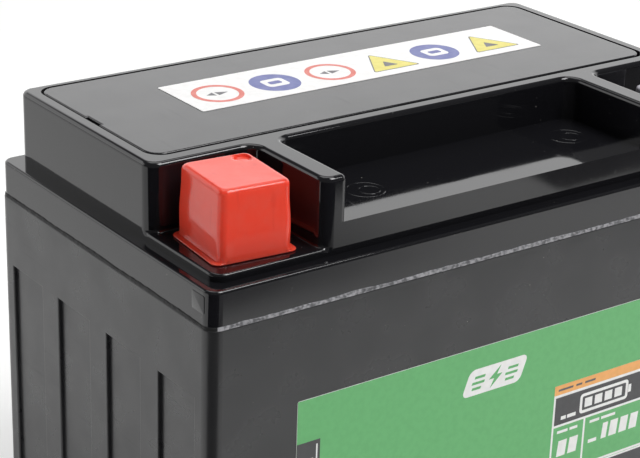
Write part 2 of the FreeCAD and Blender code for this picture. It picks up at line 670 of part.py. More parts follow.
def make_valve_cap(index):
    """A rubber cup that is stretched over a vent stub and lifts to let gas out."""
    body = add_body(f"valve_cap_{index + 1}")
    side = place_sketch(body, "CupSide", "XY_Plane", z="0")
    add_circle(side, "side", "0", "0", VALVE_RADIUS)
    tall = "sizes.stub_height + sizes.valve_top"
    pad(body, "Cup", side, tall)
    fillet(body, "CupEdge", "sizes.valve_wall / 2", on_level(tall))
    hollow = place_sketch(body, "CupHollow", "XY_Plane")
    add_circle(hollow, "hollow", "0", "0", "sizes.stub_radius")
    pocket(body, "CupHollowCut", hollow, "sizes.stub_height", reverse=True)
    for axis, expression in zip("xyz", (vent_place(index), VENT_LINE, PAN_FLOOR)):
        body.setExpression(f"Placement.Base.{axis}", expression)
    return body


# -------------------------------------------------------------- terminals


def make_terminal(label, sign):
    """Cast block with a screw hole in its front and its top and a window for a square nut."""
    body = add_body(label)
    block = place_sketch(
        body, "Outline", "XY_Plane", "-sizes.terminal_length / 2", "-sizes.terminal_width / 2"
    )
    add_rectangle(block, "block", "0", "0", "sizes.terminal_length", "sizes.terminal_width")
    pad(body, "TerminalBlock", block, "sizes.terminal_height")
    corners = corners_of("(sizes.terminal_length / 2)", "(sizes.terminal_width / 2)")
    fillet(body, "UprightEdges", "sizes.terminal_corner", upright_at(corners))
    fillet(body, "TopEdges", "sizes.terminal_edge_radius", on_level("sizes.terminal_height"))

    window = place_sketch(
        body, "NutWindow", "YZ_Plane", f"-{WINDOW} / 2", "0", "sizes.terminal_length / 2"
    )
    add_rectangle(window, "window", "0", "sizes.terminal_base", WINDOW, WINDOW)
    pocket(body, "NutWindowCut", window, "sizes.terminal_length")

    front = place_sketch(body, "FrontHole", "XZ_Plane", "0", "0", "sizes.terminal_width / 2")
    middle = "sizes.terminal_base + sizes.nut_width / 2"
    add_circle(front, "front", "0", middle, "sizes.screw_hole_radius")
    pocket(body, "FrontHoleCut", front, "sizes.terminal_width / 2")
    top = place_sketch(body, "TopHole", "XY_Plane", z="sizes.terminal_height")
    add_circle(top, "top", "0", "0", "sizes.screw_hole_radius")
    pocket(body, "TopHoleCut", top, "sizes.terminal_height / 2")
    place = (f"{sign}{TERMINAL_X}", f"-{TERMINAL_Y}", WELL_FLOOR)
    for axis, expression in zip("xyz", place):
        body.setExpression(f"Placement.Base.{axis}", expression)
    return body


def make_nut(label, sign):
    """Square nut, upright against the inside of the terminal's front wall."""
    half = "sizes.nut_width / 2"
    face = f"({TERMINAL_WALL} - {TERMINAL_Y} - sizes.terminal_width / 2)"
    blank = add_box(
        f"{label}_blank", (f"{sign}{TERMINAL_X} - {half}", face, WINDOW_FLOOR),
        ("sizes.nut_width", "sizes.nut_thickness", "sizes.nut_width"),
    )
    tap = add_primitive(
        "Cylinder", f"{label}_tap",
        {"Radius": "sizes.nut_thread_radius", "Height": "sizes.nut_thickness"},
        (f"{sign}{TERMINAL_X}", f"{face} + sizes.nut_thickness", SCREW_Z),
    )
    tap.Placement.Rotation = Rotation(Vector(1, 0, 0), 90)
    keep(add_cut(f"{label}_solid", blank, tap), label)


def make_post(label, sign):
    """Lead post from the end cell's strap to the underside of the terminal."""
    where = (f"{sign}{TERMINAL_X}", f"-{TERMINAL_Y}", STRAP_TOP)
    shaft = add_primitive(
        "Cylinder", f"{label}_shaft",
        {"Radius": "sizes.post_radius", "Height": f"{WELL_FLOOR} - {STRAP_TOP}"}, where,
    )
    foot = add_primitive(
        "Cylinder", f"{label}_foot",
        {"Radius": "sizes.post_foot_radius", "Height": "sizes.post_foot_height"}, where,
    )
    whole = DOC.addObject("Part::Fuse", f"{label}_solid")
    whole.Base = shaft
    whole.Tool = foot
    keep(whole, label)


def make_post_seal(label, sign):
    """Rubber ring round the post, at the inner end of its counterbore."""
    tube = "(sizes.gland_radius - sizes.post_radius - 2 * sizes.seal_clearance) / 2"
    run = "(sizes.gland_radius + sizes.post_radius) / 2"
    under = f"({WELL_FLOOR} - sizes.lid_wall - sizes.gland_boss)"
    height = f"{under} + sizes.gland_depth - ({tube}) - sizes.seal_clearance"
    ring = add_primitive(
        "Torus", f"{label}_ring", {"Radius1": run, "Radius2": tube},
        (f"{sign}{TERMINAL_X}", f"-{TERMINAL_Y}", height),
    )
    keep(ring, label)


def make_resin(label, sign):
    """Potting resin poured round the post, below the seal ring."""
    under = f"({WELL_FLOOR} - sizes.lid_wall - sizes.gland_boss)"
    where = (f"{sign}{TERMINAL_X}", f"-{TERMINAL_Y}", under)
    pour, core = (
        add_primitive(
            "Cylinder", f"{label}_{part}", {"Radius": radius, "Height": "sizes.resin_depth"}, where
        )
        for part, radius in (("pour", "sizes.gland_radius"), ("core", "sizes.post_radius"))
    )
    keep(add_cut(f"{label}_solid", pour, core), label)


def make_terminal_cap():
    """Soft hollow cap that is pushed over the positive terminal and lifts straight off."""
    body = add_body("positive_cap")
    outline = place_sketch(
        body, "CapOutline", "XY_Plane", "-sizes.cap_length / 2", "-sizes.cap_width / 2"
    )
    add_rectangle(outline, "cap", "0", "0", "sizes.cap_length", "sizes.cap_width")
    block = pad(body, "CapBlock", outline, "sizes.cap_height")
    block.setExpression("TaperAngle", "-sizes.cap_taper")
    DOC.recompute()
    top = number("sizes.cap_height")

    def is_slanted(edge):
        return near(edge.BoundBox.ZMin, 0) and near(edge.BoundBox.ZMax, top)

    fillet(body, "CapCorners", "sizes.cap_corner", is_slanted)
    fillet(body, "CapTopEdge", "sizes.cap_edge_radius", on_level("sizes.cap_height"))

    lip_length = "(sizes.cap_length + 2 * sizes.cap_lip_side)"
    lip_width = "(sizes.cap_width + 2 * sizes.cap_lip_front)"
    lip = place_sketch(body, "LipOutline", "XY_Plane", f"-{lip_length} / 2", f"-{lip_width} / 2")
    add_rectangle(lip, "lip", "0", "0", lip_length, lip_width)
    pad(body, "Lip", lip, "sizes.cap_lip_height")
    lip_corners = corners_of(f"({lip_length} / 2)", f"({lip_width} / 2)")
    fillet(body, "LipCorners", "sizes.cap_corner", upright_at(lip_corners))

    lean = "(sizes.cap_height * tan(sizes.cap_taper * 1 deg))"
    room_length = f"(sizes.cap_length - 2 * sizes.cap_wall - 2 * {lean})"
    room_width = f"(sizes.cap_width - 2 * sizes.cap_wall - 2 * {lean})"
    room = place_sketch(body, "CapRoom", "XY_Plane", f"-{room_length} / 2", f"-{room_width} / 2")
    add_rectangle(room, "room", "0", "0", room_length, room_width)
    pocket(body, "CapRoomCut", room, "sizes.cap_height - sizes.cap_wall", reverse=True)

    inset = f"{lean} + sizes.cap_dimple_margin + sizes.cap_dimple_radius"
    dimple = place_sketch(
        body, "ProbeDimple", "XY_Plane", f"sizes.cap_length / 2 - ({inset})",
        f"sizes.cap_width / 2 - ({inset})", "sizes.cap_height",
    )
    add_circle(dimple, "dimple", "0", "0", "sizes.cap_dimple_radius")
    pocket(body, "ProbeDimpleCut", dimple, "sizes.cap_dimple_depth")

    place = (
        f"sizes.cap_shift - {TERMINAL_X}", f"-{TERMINAL_Y}", f"{WELL_FLOOR} + sizes.cap_seat_gap"
    )
    for axis, expression in zip("xyz", place):
        body.setExpression(f"Placement.Base.{axis}", expression)
    body.setExpression("Placement.Rotation.Angle", "sizes.cap_turn * 1 deg")
    return body


# ----------------------------------------------------------------- labels


def make_labels():
    panel = f"(sizes.panel_depth - {CASE_SIDE})"
    tall = f"{SEAM} - sizes.front_label_drop - sizes.front_label_bottom"
    keep(
        add_box(
            "front_label_film",
            (
                "-sizes.front_label_length / 2",
                f"{panel} - sizes.front_label_thickness",
                "sizes.front_label_bottom",
            ),
            ("sizes.front_label_length", "sizes.front_label_thickness", tall),
        ),
        "front_label",
    )
    keep(
        add_box(
            "cover_label_film",
            (
                "sizes.cover_label_shift_x - sizes.cover_label_length / 2",
                f"{VENT_LINE} + sizes.cover_label_shift_y - sizes.cover_label_width / 2",
                LID_TOP,
            ),
            (
                "sizes.cover_label_length",
                "sizes.cover_label_width",
                "sizes.cover_label_thickness",
            ),
        ),
        "cover_label",
    )


# ------------------------------------------------------------------ cells


def make_plate_group(index, pole):
    """One pole's plates of a cell, cast together by a strap on one side of the cell.

    The positive strap of the first cell and the negative strap of the last carry the
    posts.  Every other strap has an upright lug against the partition that its link
    goes through, so the straps change sides from cell to cell.
    """
    positive = pole == "positive"
    body = add_body(f"{pole}_plates_{index + 1}")
    count = POSITIVE_PLATES if positive else NEGATIVE_PLATES
    thick = f"sizes.{pole}_plate"
    at_front = (index % 2 == 0) == positive
    side = "-" if at_front else ""
    middle_y = f"{side}{TERMINAL_Y}"
    half_cell = f"({CELL_LENGTH} / 2)"

    reach = f"({half_cell} - sizes.strap_gap)"
    has_post = (positive and index == 0) or (not positive and index == CELLS - 1)
    low_x = f"-{reach}" if not positive or has_post else f"-{half_cell}"
    high_x = reach if positive or has_post else half_cell
    strap = place_sketch(
        body, "StrapOutline", "XY_Plane", low_x, f"{middle_y} - sizes.strap_width / 2", STRAP_FOOT
    )
    add_rectangle(strap, "strap", "0", "0", f"{high_x} - ({low_x})", "sizes.strap_width")
    pad(body, "Strap", strap, "sizes.strap_height")
    if not has_post:
        edge = f"-{half_cell}" if positive else f"{half_cell} - sizes.tombstone"
        lug = place_sketch(
            body, "UprightLug", "XY_Plane", edge, f"{middle_y} - sizes.strap_width / 2", STRAP_TOP
        )
        add_rectangle(lug, "lug", "0", "0", "sizes.tombstone", "sizes.strap_width")
        pad(body, "UprightLugPad", lug, f"{TOMBSTONE_TOP} - {STRAP_TOP}")

    first_x = f"-({count - 1}) * {PLATE_PITCH} / 2 - {thick} / 2"
    plate = place_sketch(body, "PlateOutline", "YZ_Plane", f"-{PLATE_SIDE}", PLATE_FOOT, first_x)
    low = f"{middle_y} - sizes.lug_width / 2 + {PLATE_SIDE}"
    high = f"{PLATE_TOP} - {PLATE_FOOT}"
    add_plate_outline(plate, f"2 * {PLATE_SIDE}", high, low)
    pad(body, "Plate", plate, thick)
    row = body.newObject("PartDesign::LinearPattern", "PlateRow")
    row.Originals = [body.Tip]
    row.Direction = (plane_axis(body), [""])
    row.setExpression("Length", f"{count - 1} * {PLATE_PITCH}")
    row.Occurrences = count
    body.Tip = row
    body.setExpression("Placement.Base.x", cell_centre(index))
    DOC.recompute()
    return body


def plane_axis(body):
    return plane_of(body, "X_Axis")


def add_plate_outline(sketch, wide, high, lug_low):
    """A plate with its lug, drawn from the plate's lower corner at the sketch's origin."""
    w, t, a = number(wide), number(high), number(lug_low)
    lug, rise = "sizes.lug_width", "sizes.lug_height"
    b, top = a + number(lug), t + number(rise)
    points = [(0, 0), (w, 0), (w, t), (b, t), (b, top), (a, top), (a, t), (0, t)]
    corners = [Vector(x, y, 0) for x, y in points]
    for here, there in zip(corners, corners[1:] + corners[:1]):
        sketch.addGeometry(Part.LineSegment(here, there), False)
    last = len(points) - 1
    for side in range(len(points)):
        add_rule(sketch, "", "Coincident", side, 2, (side + 1) % len(points), 1)
        add_rule(sketch, "", "Vertical" if side % 2 else "Horizontal", side)
    place_point(sketch, "foot", 0, 1, "0", "0")
    add_rule(sketch, "wide", "DistanceX", 0, 1, 0, 2, value=wide)
    add_rule(sketch, "high", "DistanceY", 1, 1, 1, 2, value=high)
    add_rule(sketch, "rise", "DistanceY", 3, 1, 3, 2, value=rise)
    add_rule(sketch, "lug", "DistanceX", 4, 2, 4, 1, value=lug)
    add_rule(sketch, "shoulder", "DistanceX", 6, 2, 6, 1, value=lug_low)
    add_rule(sketch, "", "PointOnObject", last, 1, 2)


def make_separators(index):
    """Glass mats of one cell, each folded under a positive plate and up both its sides."""
    parts = []
    half = f"({PLATE_SIDE} + sizes.mat_overhang)"
    tall = f"{PLATE_TOP} - sizes.case_wall + sizes.mat_overhang"
    for turn in range(POSITIVE_PLATES):
        centre = f"({cell_centre(index)} + ({turn} - {(POSITIVE_PLATES - 1) / 2}) * {PLATE_PITCH})"
        outer = add_box(
            f"mat_{index + 1}_{turn + 1}_outer",
            (f"{centre} - sizes.positive_plate / 2 - {MAT}", f"-{half}", "sizes.case_wall"),
            (f"sizes.positive_plate + 2 * {MAT}", f"2 * {half}", tall),
        )
        inner = add_box(
            f"mat_{index + 1}_{turn + 1}_inner",
            (f"{centre} - sizes.positive_plate / 2", f"-{half}", PLATE_FOOT),
            ("sizes.positive_plate", f"2 * {half}", tall),
        )
        parts.append(add_cut(f"mat_{index + 1}_{turn + 1}", outer, inner))
    group = DOC.addObject("Part::Compound", f"separator_mats_{index + 1}")
    group.Links = parts
    keep(group, f"separators_{index + 1}")


def make_cell_link(index):
    """Weld that joins two cells' upright lugs through the partition between them."""
    face = f"{cell_centre(index)} + {CELL_LENGTH} / 2"
    weld = add_primitive(
        "Cylinder", f"weld_{index + 1}",
        {"Radius": "sizes.weld_radius", "Height": "sizes.partition"},
        (face, f"{partition_side(index)}{TERMINAL_Y}", WELD_Z),
    )
    weld.Placement.Rotation = Rotation(Vector(0, 1, 0), 90)
    keep(weld, f"cell_link_{index + 1}")


# --------------------------------------------------------------- assembly


def build():
    make_case()
    make_lid()
    make_vent_cover()
    for index in range(CELLS):
        make_valve_cap(index)
    for pole, sign in (("positive", "-"), ("negative", "")):
        make_terminal(f"{pole}_terminal", sign)
        make_nut(f"{pole}_nut", sign)
        make_post(f"{pole}_post", sign)
        make_post_seal(f"{pole}_post_seal", sign)
        make_resin(f"{pole}_post_resin", sign)
    make_terminal_cap()
    make_labels()
    for index in range(CELLS):
        make_plate_group(index, "positive")
        make_plate_group(index, "negative")
        make_separators(index)
    for index in range(CELLS - 1):
        make_cell_link(index)
    DOC.recompute()


def check():
    """Stops before anything is written if any object failed or any sub-part is unsound."""
    for thing in DOC.Objects:
        if "Invalid" in thing.State or "Error" in thing.State:
            raise ValueError(f"{thing.Label} failed: {thing.State}")
    for sub_part in SUB_PARTS:
        if sub_part.Shape.isNull() or not sub_part.Shape.isValid():
            raise ValueError(f"{sub_part.Label} has no sound shape")


def write():
    os.makedirs("parts", exist_ok=True)
    for sub_part in SUB_PARTS:
        sub_part.Shape.exportStep(f"parts/{sub_part.Label}.step")


build()
check()
write()
print(len(SUB_PARTS), "sub-parts")
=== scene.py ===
# Sealed motorcycle battery: the finish of its moulded, cast and pasted pieces, the soft cap,
# the printed labels, the weld bead and the studio they stand in.
import json
import math

import bmesh
import bpy
from bpy.props import FloatProperty, FloatVectorProperty, PointerProperty
from mathutils import Matrix, Vector, noise


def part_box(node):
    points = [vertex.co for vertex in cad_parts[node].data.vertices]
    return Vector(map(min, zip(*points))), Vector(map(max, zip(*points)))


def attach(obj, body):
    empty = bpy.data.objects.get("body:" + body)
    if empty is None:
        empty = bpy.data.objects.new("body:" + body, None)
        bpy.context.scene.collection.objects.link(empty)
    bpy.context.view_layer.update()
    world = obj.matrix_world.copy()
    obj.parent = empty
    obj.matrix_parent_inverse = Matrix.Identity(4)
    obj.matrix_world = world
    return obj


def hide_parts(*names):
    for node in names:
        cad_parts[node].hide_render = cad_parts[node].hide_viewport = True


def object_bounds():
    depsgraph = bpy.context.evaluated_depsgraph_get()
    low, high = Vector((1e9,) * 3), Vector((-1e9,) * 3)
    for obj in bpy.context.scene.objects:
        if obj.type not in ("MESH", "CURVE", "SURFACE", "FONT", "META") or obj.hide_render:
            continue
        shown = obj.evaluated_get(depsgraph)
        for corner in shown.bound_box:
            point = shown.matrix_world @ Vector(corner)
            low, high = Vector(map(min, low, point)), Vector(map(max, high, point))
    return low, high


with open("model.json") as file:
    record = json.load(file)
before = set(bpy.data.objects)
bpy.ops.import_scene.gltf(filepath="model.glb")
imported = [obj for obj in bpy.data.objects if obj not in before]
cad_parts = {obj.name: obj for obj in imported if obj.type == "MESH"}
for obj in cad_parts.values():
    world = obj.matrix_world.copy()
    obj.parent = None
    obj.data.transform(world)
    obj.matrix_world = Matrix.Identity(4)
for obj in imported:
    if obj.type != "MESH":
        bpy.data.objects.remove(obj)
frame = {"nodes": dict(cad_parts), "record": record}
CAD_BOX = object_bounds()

bl_info = {
    "name": "Motorcycle battery",
    "version": (1, 0, 0),
    "blender": (4, 5, 0),
    "location": "3D View > Sidebar > Battery",
    "description": "Builds the finish and the printed pieces of a sealed motorcycle battery",
    "category": "Add Mesh",
}

MM = 0.001
SLOT_OF_NODE = {row["node"]: row["material_slot"] for row in frame["record"]["subparts"]}


# ------------------------------------------------------------- properties


def linear(hex_colour):
    """Linear RGB of an sRGB hex colour."""
    channels = (int(hex_colour[i:i + 2], 16) / 255 for i in (1, 3, 5))
    return tuple(c / 12.92 if c <= 0.04045 else ((c + 0.055) / 1.055) ** 2.4 for c in channels)


def colour(name, description, hex_colour):
    """A colour swatch for the sidebar."""
    return FloatVectorProperty(
        name=name, description=description, subtype="COLOR", size=3, min=0, max=1,
        default=linear(hex_colour),
    )


def length(name, description, millimetres):
    """A size for the sidebar."""
    return FloatProperty(
        name=name, description=description, subtype="DISTANCE", unit="LENGTH", min=0,
        precision=5, default=millimetres * MM,
    )


class StageSettings(bpy.types.PropertyGroup):
    """Camera, floor and lights"""

    azimuth: FloatProperty(
        name="Azimuth", description="Turn of the camera about the battery, from its front",
        subtype="ANGLE", unit="ROTATION", default=math.radians(-36.31),
    )
    elevation: FloatProperty(
        name="Elevation", description="Height of the camera above the horizon",
        subtype="ANGLE", unit="ROTATION", default=math.radians(22.33),
    )
    roll: FloatProperty(
        name="Roll", description="Tilt of the camera about its own axis",
        subtype="ANGLE", unit="ROTATION", default=math.radians(1.84),
    )
    distance: length("Distance", "Camera to the point it is aimed at", 379.3)
    aim_left: length("Aim left", "Aimed point, to the left of the middle of the case", 49.8)
    aim_height: length("Aim height", "Aimed point, above the underside of the case", 96.6)
    lens: FloatProperty(
        name="Lens", description="Focal length for a 36 mm wide sensor", default=109.8,
        subtype="DISTANCE_CAMERA", unit="CAMERA",
    )
    floor_colour: colour("Floor", "Colour of the floor", "#F4F4F3")
    key_radiance: FloatProperty(
        name="Key light", description="Brightness of the soft box above the front",
        min=0, default=9.6,
    )
    fill_radiance: FloatProperty(
        name="Fill light", description="Brightness of the soft box overhead",
        min=0, default=1.9,
    )
    horizon: FloatProperty(
        name="Horizon", description="Brightness of the backdrop near the horizon",
        min=0, default=1.5,
    )
    ceiling: FloatProperty(
        name="Ceiling", description="Brightness of the ceiling and of the near side of the room",
        min=0, default=0.13,
    )
    floor_glow: FloatProperty(
        name="Floor glow", description="Light that the lit-from-below floor gives by itself",
        min=0, default=0.3,
    )


class PlasticSettings(bpy.types.PropertyGroup):
    """Black mouldings"""

    case_colour: colour("Case", "Black of the case", "#2A2A2C")
    lid_colour: colour("Lid", "Black of the lid", "#17171A")
    cover_colour: colour("Vent cover", "Black of the vent cover", "#1F1F22")
    bead_height: length("Weld bead height", "Weld bead at the seam, up and down", 1.7)
    bead_depth: length("Weld bead depth", "How far the bead stands out of the lid's skirt", 0.28)


class CapSettings(bpy.types.PropertyGroup):
    """Soft cap of the positive terminal"""

    cap_colour: colour("Cap", "Red of the vinyl", "#F64D3A")
    bulge: length("Bulge", "How far the soft sides belly out", 0.16)
    wall: length("Wall", "Thickness of the cap's sides and top", 1.4)
    dimple_radius: length("Dimple radius", "Probe dimple in the cap's top", 1.9)
    dimple_depth: length("Dimple depth", "Probe dimple in the cap's top", 0.55)


class LabelSettings(bpy.types.PropertyGroup):
    """Printed labels"""

    green: colour("Green", "Main ink of the front label", "#63B56E")
    dark: colour("Dark grey", "Ink of the panels on the front label", "#403F42")
    orange: colour("Orange", "Ink of the strip on the front label", "#F6B062")
    white: colour("White", "Film and white ink", "#F3F2F1")
    red: colour("Red", "Rings of the cover label", "#DD6A5B")
    blue: colour("Blue", "Discs of the cover label", "#5A63A6")
    yellow: colour("Yellow", "Triangles of the cover label", "#E6DA63")
    ink: colour("Ink grey", "Fine marks", "#5B5A5E")
    symbol_size: length("Symbol size", "Diameter of a disc or ring on the cover label", 11.8)
    symbol_pitch: length("Symbol pitch", "Symbol to symbol along the cover label", 15.2)


# -------------------------------------------------------------- materials


def add_node(tree, kind, inputs=None, **settings):
    """Adds a node and gives its outputs: inputs are values or outputs, settings its properties."""
    node = tree.nodes.new(kind)
    for name, value in settings.items():
        setattr(node, name, value)
    for socket, value in (inputs or {}).items():
        if isinstance(value, bpy.types.NodeSocket):
            tree.links.new(value, node.inputs[socket])
        else:
            node.inputs[socket].default_value = value
    return node.outputs


def per_metre(millimetres):
    """Texture scale of a pattern that repeats every so many millimetres."""
    return 1 / (millimetres * MM)


# The Mix node's first and second colour, and the colour it gives
FIRST_COLOUR, SECOND_COLOUR, MIXED_COLOUR = 6, 7, 2


def new_material(name, base, constants):
    """A material with its constant sockets set on the shader itself."""
    material = bpy.data.materials.new(name)
    material.use_nodes = True
    tree = material.node_tree
    shader = tree.nodes["Principled BSDF"]
    shader.inputs["Base Color"].default_value = (*base, 1)
    for socket, value in constants.items():
        shader.inputs[socket].default_value = value
    place = add_node(tree, "ShaderNodeTexCoord")["Object"]
    return material, tree, shader, place


def streaky(tree, place, millimetres, detail, stretch):
    """Noise drawn out along an axis: the place is squeezed first, then made cloudy."""
    squeezed = add_node(tree, "ShaderNodeMapping", {"Vector": place, "Scale": stretch})
    return add_node(tree, "ShaderNodeTexNoise", {
        "Vector": squeezed["Vector"], "Scale": per_metre(millimetres), "Detail": detail,
    })["Fac"]


def specks(tree, place, spacing, size, share):
    """Dust: round dots of a size, in a share of the cells of a grid of that spacing."""
    cells = add_node(
        tree, "ShaderNodeTexVoronoi", {"Vector": place, "Scale": per_metre(spacing)},
        feature="F1",
    )
    reach = size / spacing / 2
    dot = add_node(tree, "ShaderNodeMapRange", {
        "Value": cells["Distance"], "From Min": reach * 0.6, "From Max": reach,
        "To Min": 1, "To Max": 0,
    }, interpolation_type="SMOOTHSTEP")["Result"]
    lot = add_node(tree, "ShaderNodeSeparateColor", {"Color": cells["Color"]})["Red"]
    drawn = add_node(tree, "ShaderNodeMath", {0: lot, 1: share}, operation="LESS_THAN")["Value"]
    return add_node(tree, "ShaderNodeMath", {0: dot, 1: drawn}, operation="MULTIPLY")["Value"]


def tint(tree, pattern, low, high, most, first, second):
    """Turns a colour towards another, by most at the top of a pattern's range."""
    share = add_node(tree, "ShaderNodeMapRange", {
        "Value": pattern, "From Min": low, "From Max": high, "To Min": 0, "To Max": most,
    }, interpolation_type="SMOOTHSTEP")["Result"]
    return add_node(tree, "ShaderNodeMix", {
        "Factor": share, FIRST_COLOUR: first, SECOND_COLOUR: second,
    }, data_type="RGBA")[MIXED_COLOUR]


def dress(tree, shader, place, shade, gloss, relief):
    """Gives the shader its colour, roughness and stacked relief, coarse first.

    Gloss is an output, or a pattern, its low and high and the roughness at each.
    A relief layer is a height, or the patch size in millimetres and the detail of a noise,
    then its depth in millimetres and a strength.
    """
    tree.links.new(shade, shader.inputs["Base Color"])
    if isinstance(gloss, tuple):
        pattern, low, high, smooth, rough = gloss
        gloss = add_node(tree, "ShaderNodeMapRange", {
            "Value": pattern, "From Min": low, "From Max": high,
            "To Min": smooth, "To Max": rough,
        }, interpolation_type="SMOOTHSTEP")["Result"]
    tree.links.new(gloss, shader.inputs["Roughness"])
    normal = None
    for height, depth, strength in relief:
        if isinstance(height, tuple):
            millimetres, detail = height
            height = add_node(tree, "ShaderNodeTexNoise", {
                "Vector": place, "Scale": per_metre(millimetres), "Detail": detail,
            })["Fac"]
        inputs = {"Height": height, "Distance": depth * MM, "Strength": strength}
        if normal:
            inputs["Normal"] = normal
        normal = add_node(tree, "ShaderNodeBump", inputs)["Normal"]
    tree.links.new(normal, shader.inputs["Normal"])


def moulded_plastic(name, base, roughness, ripple, grain, dust):
    """Injection-moulded ABS: black, hard and shiny, with faint flow ripples and stray dust."""
    material, tree, shader, place = new_material(name, base, {"IOR": 1.53})
    patches = add_node(tree, "ShaderNodeTexNoise", {
        "Vector": place, "Scale": per_metre(9.0), "Detail": 3.0,
    })["Fac"]
    hairline = add_node(tree, "ShaderNodeMapRange", {
        "Value": streaky(tree, place, 0.9, 2.0, (1, 0.04, 1)), "From Min": 0.66,
        "From Max": 0.72, "To Min": 0, "To Max": 1,
    }, interpolation_type="SMOOTHSTEP")["Result"]
    dots = specks(tree, place, 3.4, 0.30, dust)
    lint = specks(tree, place, 1.7, 0.16, dust)
    dirt = add_node(tree, "ShaderNodeMath", {0: dots, 1: lint}, operation="MAXIMUM")["Value"]
    dusted = add_node(tree, "ShaderNodeMix", {
        "Factor": dirt, FIRST_COLOUR: (*base, 1), SECOND_COLOUR: (*linear("#8F8C86"), 1),
    }, data_type="RGBA")[MIXED_COLOUR]
    gloss = add_node(tree, "ShaderNodeMapRange", {
        "Value": patches, "From Min": 0.3, "From Max": 0.7,
        "To Min": roughness * 0.85, "To Max": roughness * 1.2,
    }, interpolation_type="SMOOTHSTEP")["Result"]
    scuffed = add_node(
        tree, "ShaderNodeMath", {0: hairline, 1: 0.06, 2: gloss}, operation="MULTIPLY_ADD"
    )["Value"]
    dusty = add_node(
        tree, "ShaderNodeMath", {0: dirt, 1: 0.5, 2: scuffed}, operation="MULTIPLY_ADD",
        use_clamp=True,
    )["Value"]
    dress(tree, shader, place, dusted, dusty, (
        ((14.0, 1.0), ripple, 1.0), ((0.35, 2.0), grain, 1.0), (dirt, 0.02, 1.0),
    ))
    return material


def weld_flash(name, hex_base, hex_pale, roughness):
    """ABS squeezed out of a hot-plate weld: lumpy, with paler lumps."""
    base = linear(hex_base)
    material, tree, shader, place = new_material(name, base, {"IOR": 1.53})
    lumps = add_node(tree, "ShaderNodeTexNoise", {
        "Vector": place, "Scale": per_metre(0.9), "Detail": 3.0,
    })["Fac"]
    shade = tint(tree, lumps, 0.35, 0.65, 1, (*base, 1), (*linear(hex_pale), 1))
    dress(
        tree, shader, place, shade, (lumps, 0.3, 0.7, roughness, roughness + 0.15),
        ((lumps, 0.2, 1.0), ((0.35, 2.0), 0.08, 1.0)),
    )
    return material


def dipped_vinyl(base):
    """Soft plasticised vinyl: a wet-looking red that light soaks into, cloudy at the foot."""
    material, tree, shader, place = new_material("dipped_red_vinyl", base, {
        "IOR": 1.52, "Specular IOR Level": 0.36, "Subsurface Weight": 0.35,
        "Subsurface Scale": 1.5 * MM, "Subsurface Radius": (2.0, 0.5, 0.35),
    })
    mottle = add_node(tree, "ShaderNodeTexNoise", {
        "Vector": place, "Scale": per_metre(3.2), "Detail": 3.0,
    })["Fac"]
    streaks = streaky(tree, place, 2.2, 2.0, (1, 1, 0.18))
    shade = tint(tree, mottle, 0.42, 0.72, 0.16, (*base, 1), (*linear("#F2695A"), 1))
    shade = tint(tree, streaks, 0.6, 0.75, 0.3, shade, (*linear("#D83A2C"), 1))
    dirt = specks(tree, place, 2.3, 0.20, 0.10)
    shade = add_node(tree, "ShaderNodeMix", {
        "Factor": dirt, FIRST_COLOUR: shade, SECOND_COLOUR: (*linear("#F3C9BD"), 1),
    }, data_type="RGBA")[MIXED_COLOUR]
    dress(
        tree, shader, place, shade, (mottle, 0.3, 0.7, 0.07, 0.12),
        (((7.0, 1.0), 0.05, 1.0), (streaks, 0.02, 0.6), ((0.5, 2.0), 0.004, 1.0)),
    )
    return material


def printed_film(name, base):
    """Ink under a thin clear laminate: even colour, faint orange peel, a soft sheen."""
    material, tree, shader, place = new_material(name, base, {
        "IOR": 1.49, "Coat Weight": 0.2, "Coat Roughness": 0.25, "Coat IOR": 1.45,
    })
    mottle = add_node(tree, "ShaderNodeTexNoise", {
        "Vector": place, "Scale": per_metre(1.6), "Detail": 4.0,
    })["Fac"]
    darker = tuple(channel * 0.90 for channel in base)
    shade = tint(tree, mottle, 0.35, 0.7, 0.6, (*base, 1), (*darker, 1))
    dress(
        tree, shader, place, shade, (mottle, 0.3, 0.7, 0.38, 0.48),
        (((0.6, 2.0), 0.004, 1.0),),
    )
    return material


def cast_lead():
    """Cast lead alloy: soft grey metal with a matte skin, dark oxide and casting pits."""
    base = linear("#B4B3BA")
    material, tree, shader, place = new_material("cast_lead_alloy", base, {"Metallic": 0.4})
    skin = add_node(tree, "ShaderNodeTexNoise", {
        "Vector": place, "Scale": per_metre(1.8), "Detail": 4.0,
    })["Fac"]
    shade = tint(tree, skin, 0.4, 0.75, 0.5, (*base, 1), (*linear("#807E88"), 1))
    dress(
        tree, shader, place, shade, (skin, 0.3, 0.7, 0.42, 0.62),
        ((skin, 0.04, 0.6), ((0.25, 3.0), 0.02, 0.7)),
    )
    return material


def zinc_plate():
    """Zinc-plated steel: bright, slightly yellow, with fine drawn lines."""
    base = linear("#D2CFC4")
    material, tree, shader, place = new_material("zinc_plated_steel", base, {"Metallic": 1.0})
    lines = streaky(tree, place, 0.12, 2.0, (1, 1, 0.08))
    shade = tint(tree, lines, 0.4, 0.7, 0.4, (*base, 1), (*linear("#A9A48F"), 1))
    dress(tree, shader, place, shade, (lines, 0.3, 0.7, 0.22, 0.36), ((lines, 0.006, 0.6),))
    return material


def moulded_rubber():
    """Moulded EPDM rubber: matte black with a bloom of talc."""
    base = linear("#1D1D1F")
    material, tree, shader, place = new_material("moulded_rubber", base, {"IOR": 1.5})
    talc = add_node(tree, "ShaderNodeTexNoise", {
        "Vector": place, "Scale": per_metre(2.4), "Detail": 4.0,
    })["Fac"]
    shade = tint(tree, talc, 0.5, 0.8, 0.3, (*base, 1), (*linear("#5C5B59"), 1))
    dress(
        tree, shader, place, shade, (talc, 0.3, 0.7, 0.55, 0.72),
        (((0.3, 3.0), 0.01, 0.8),),
    )
    return material


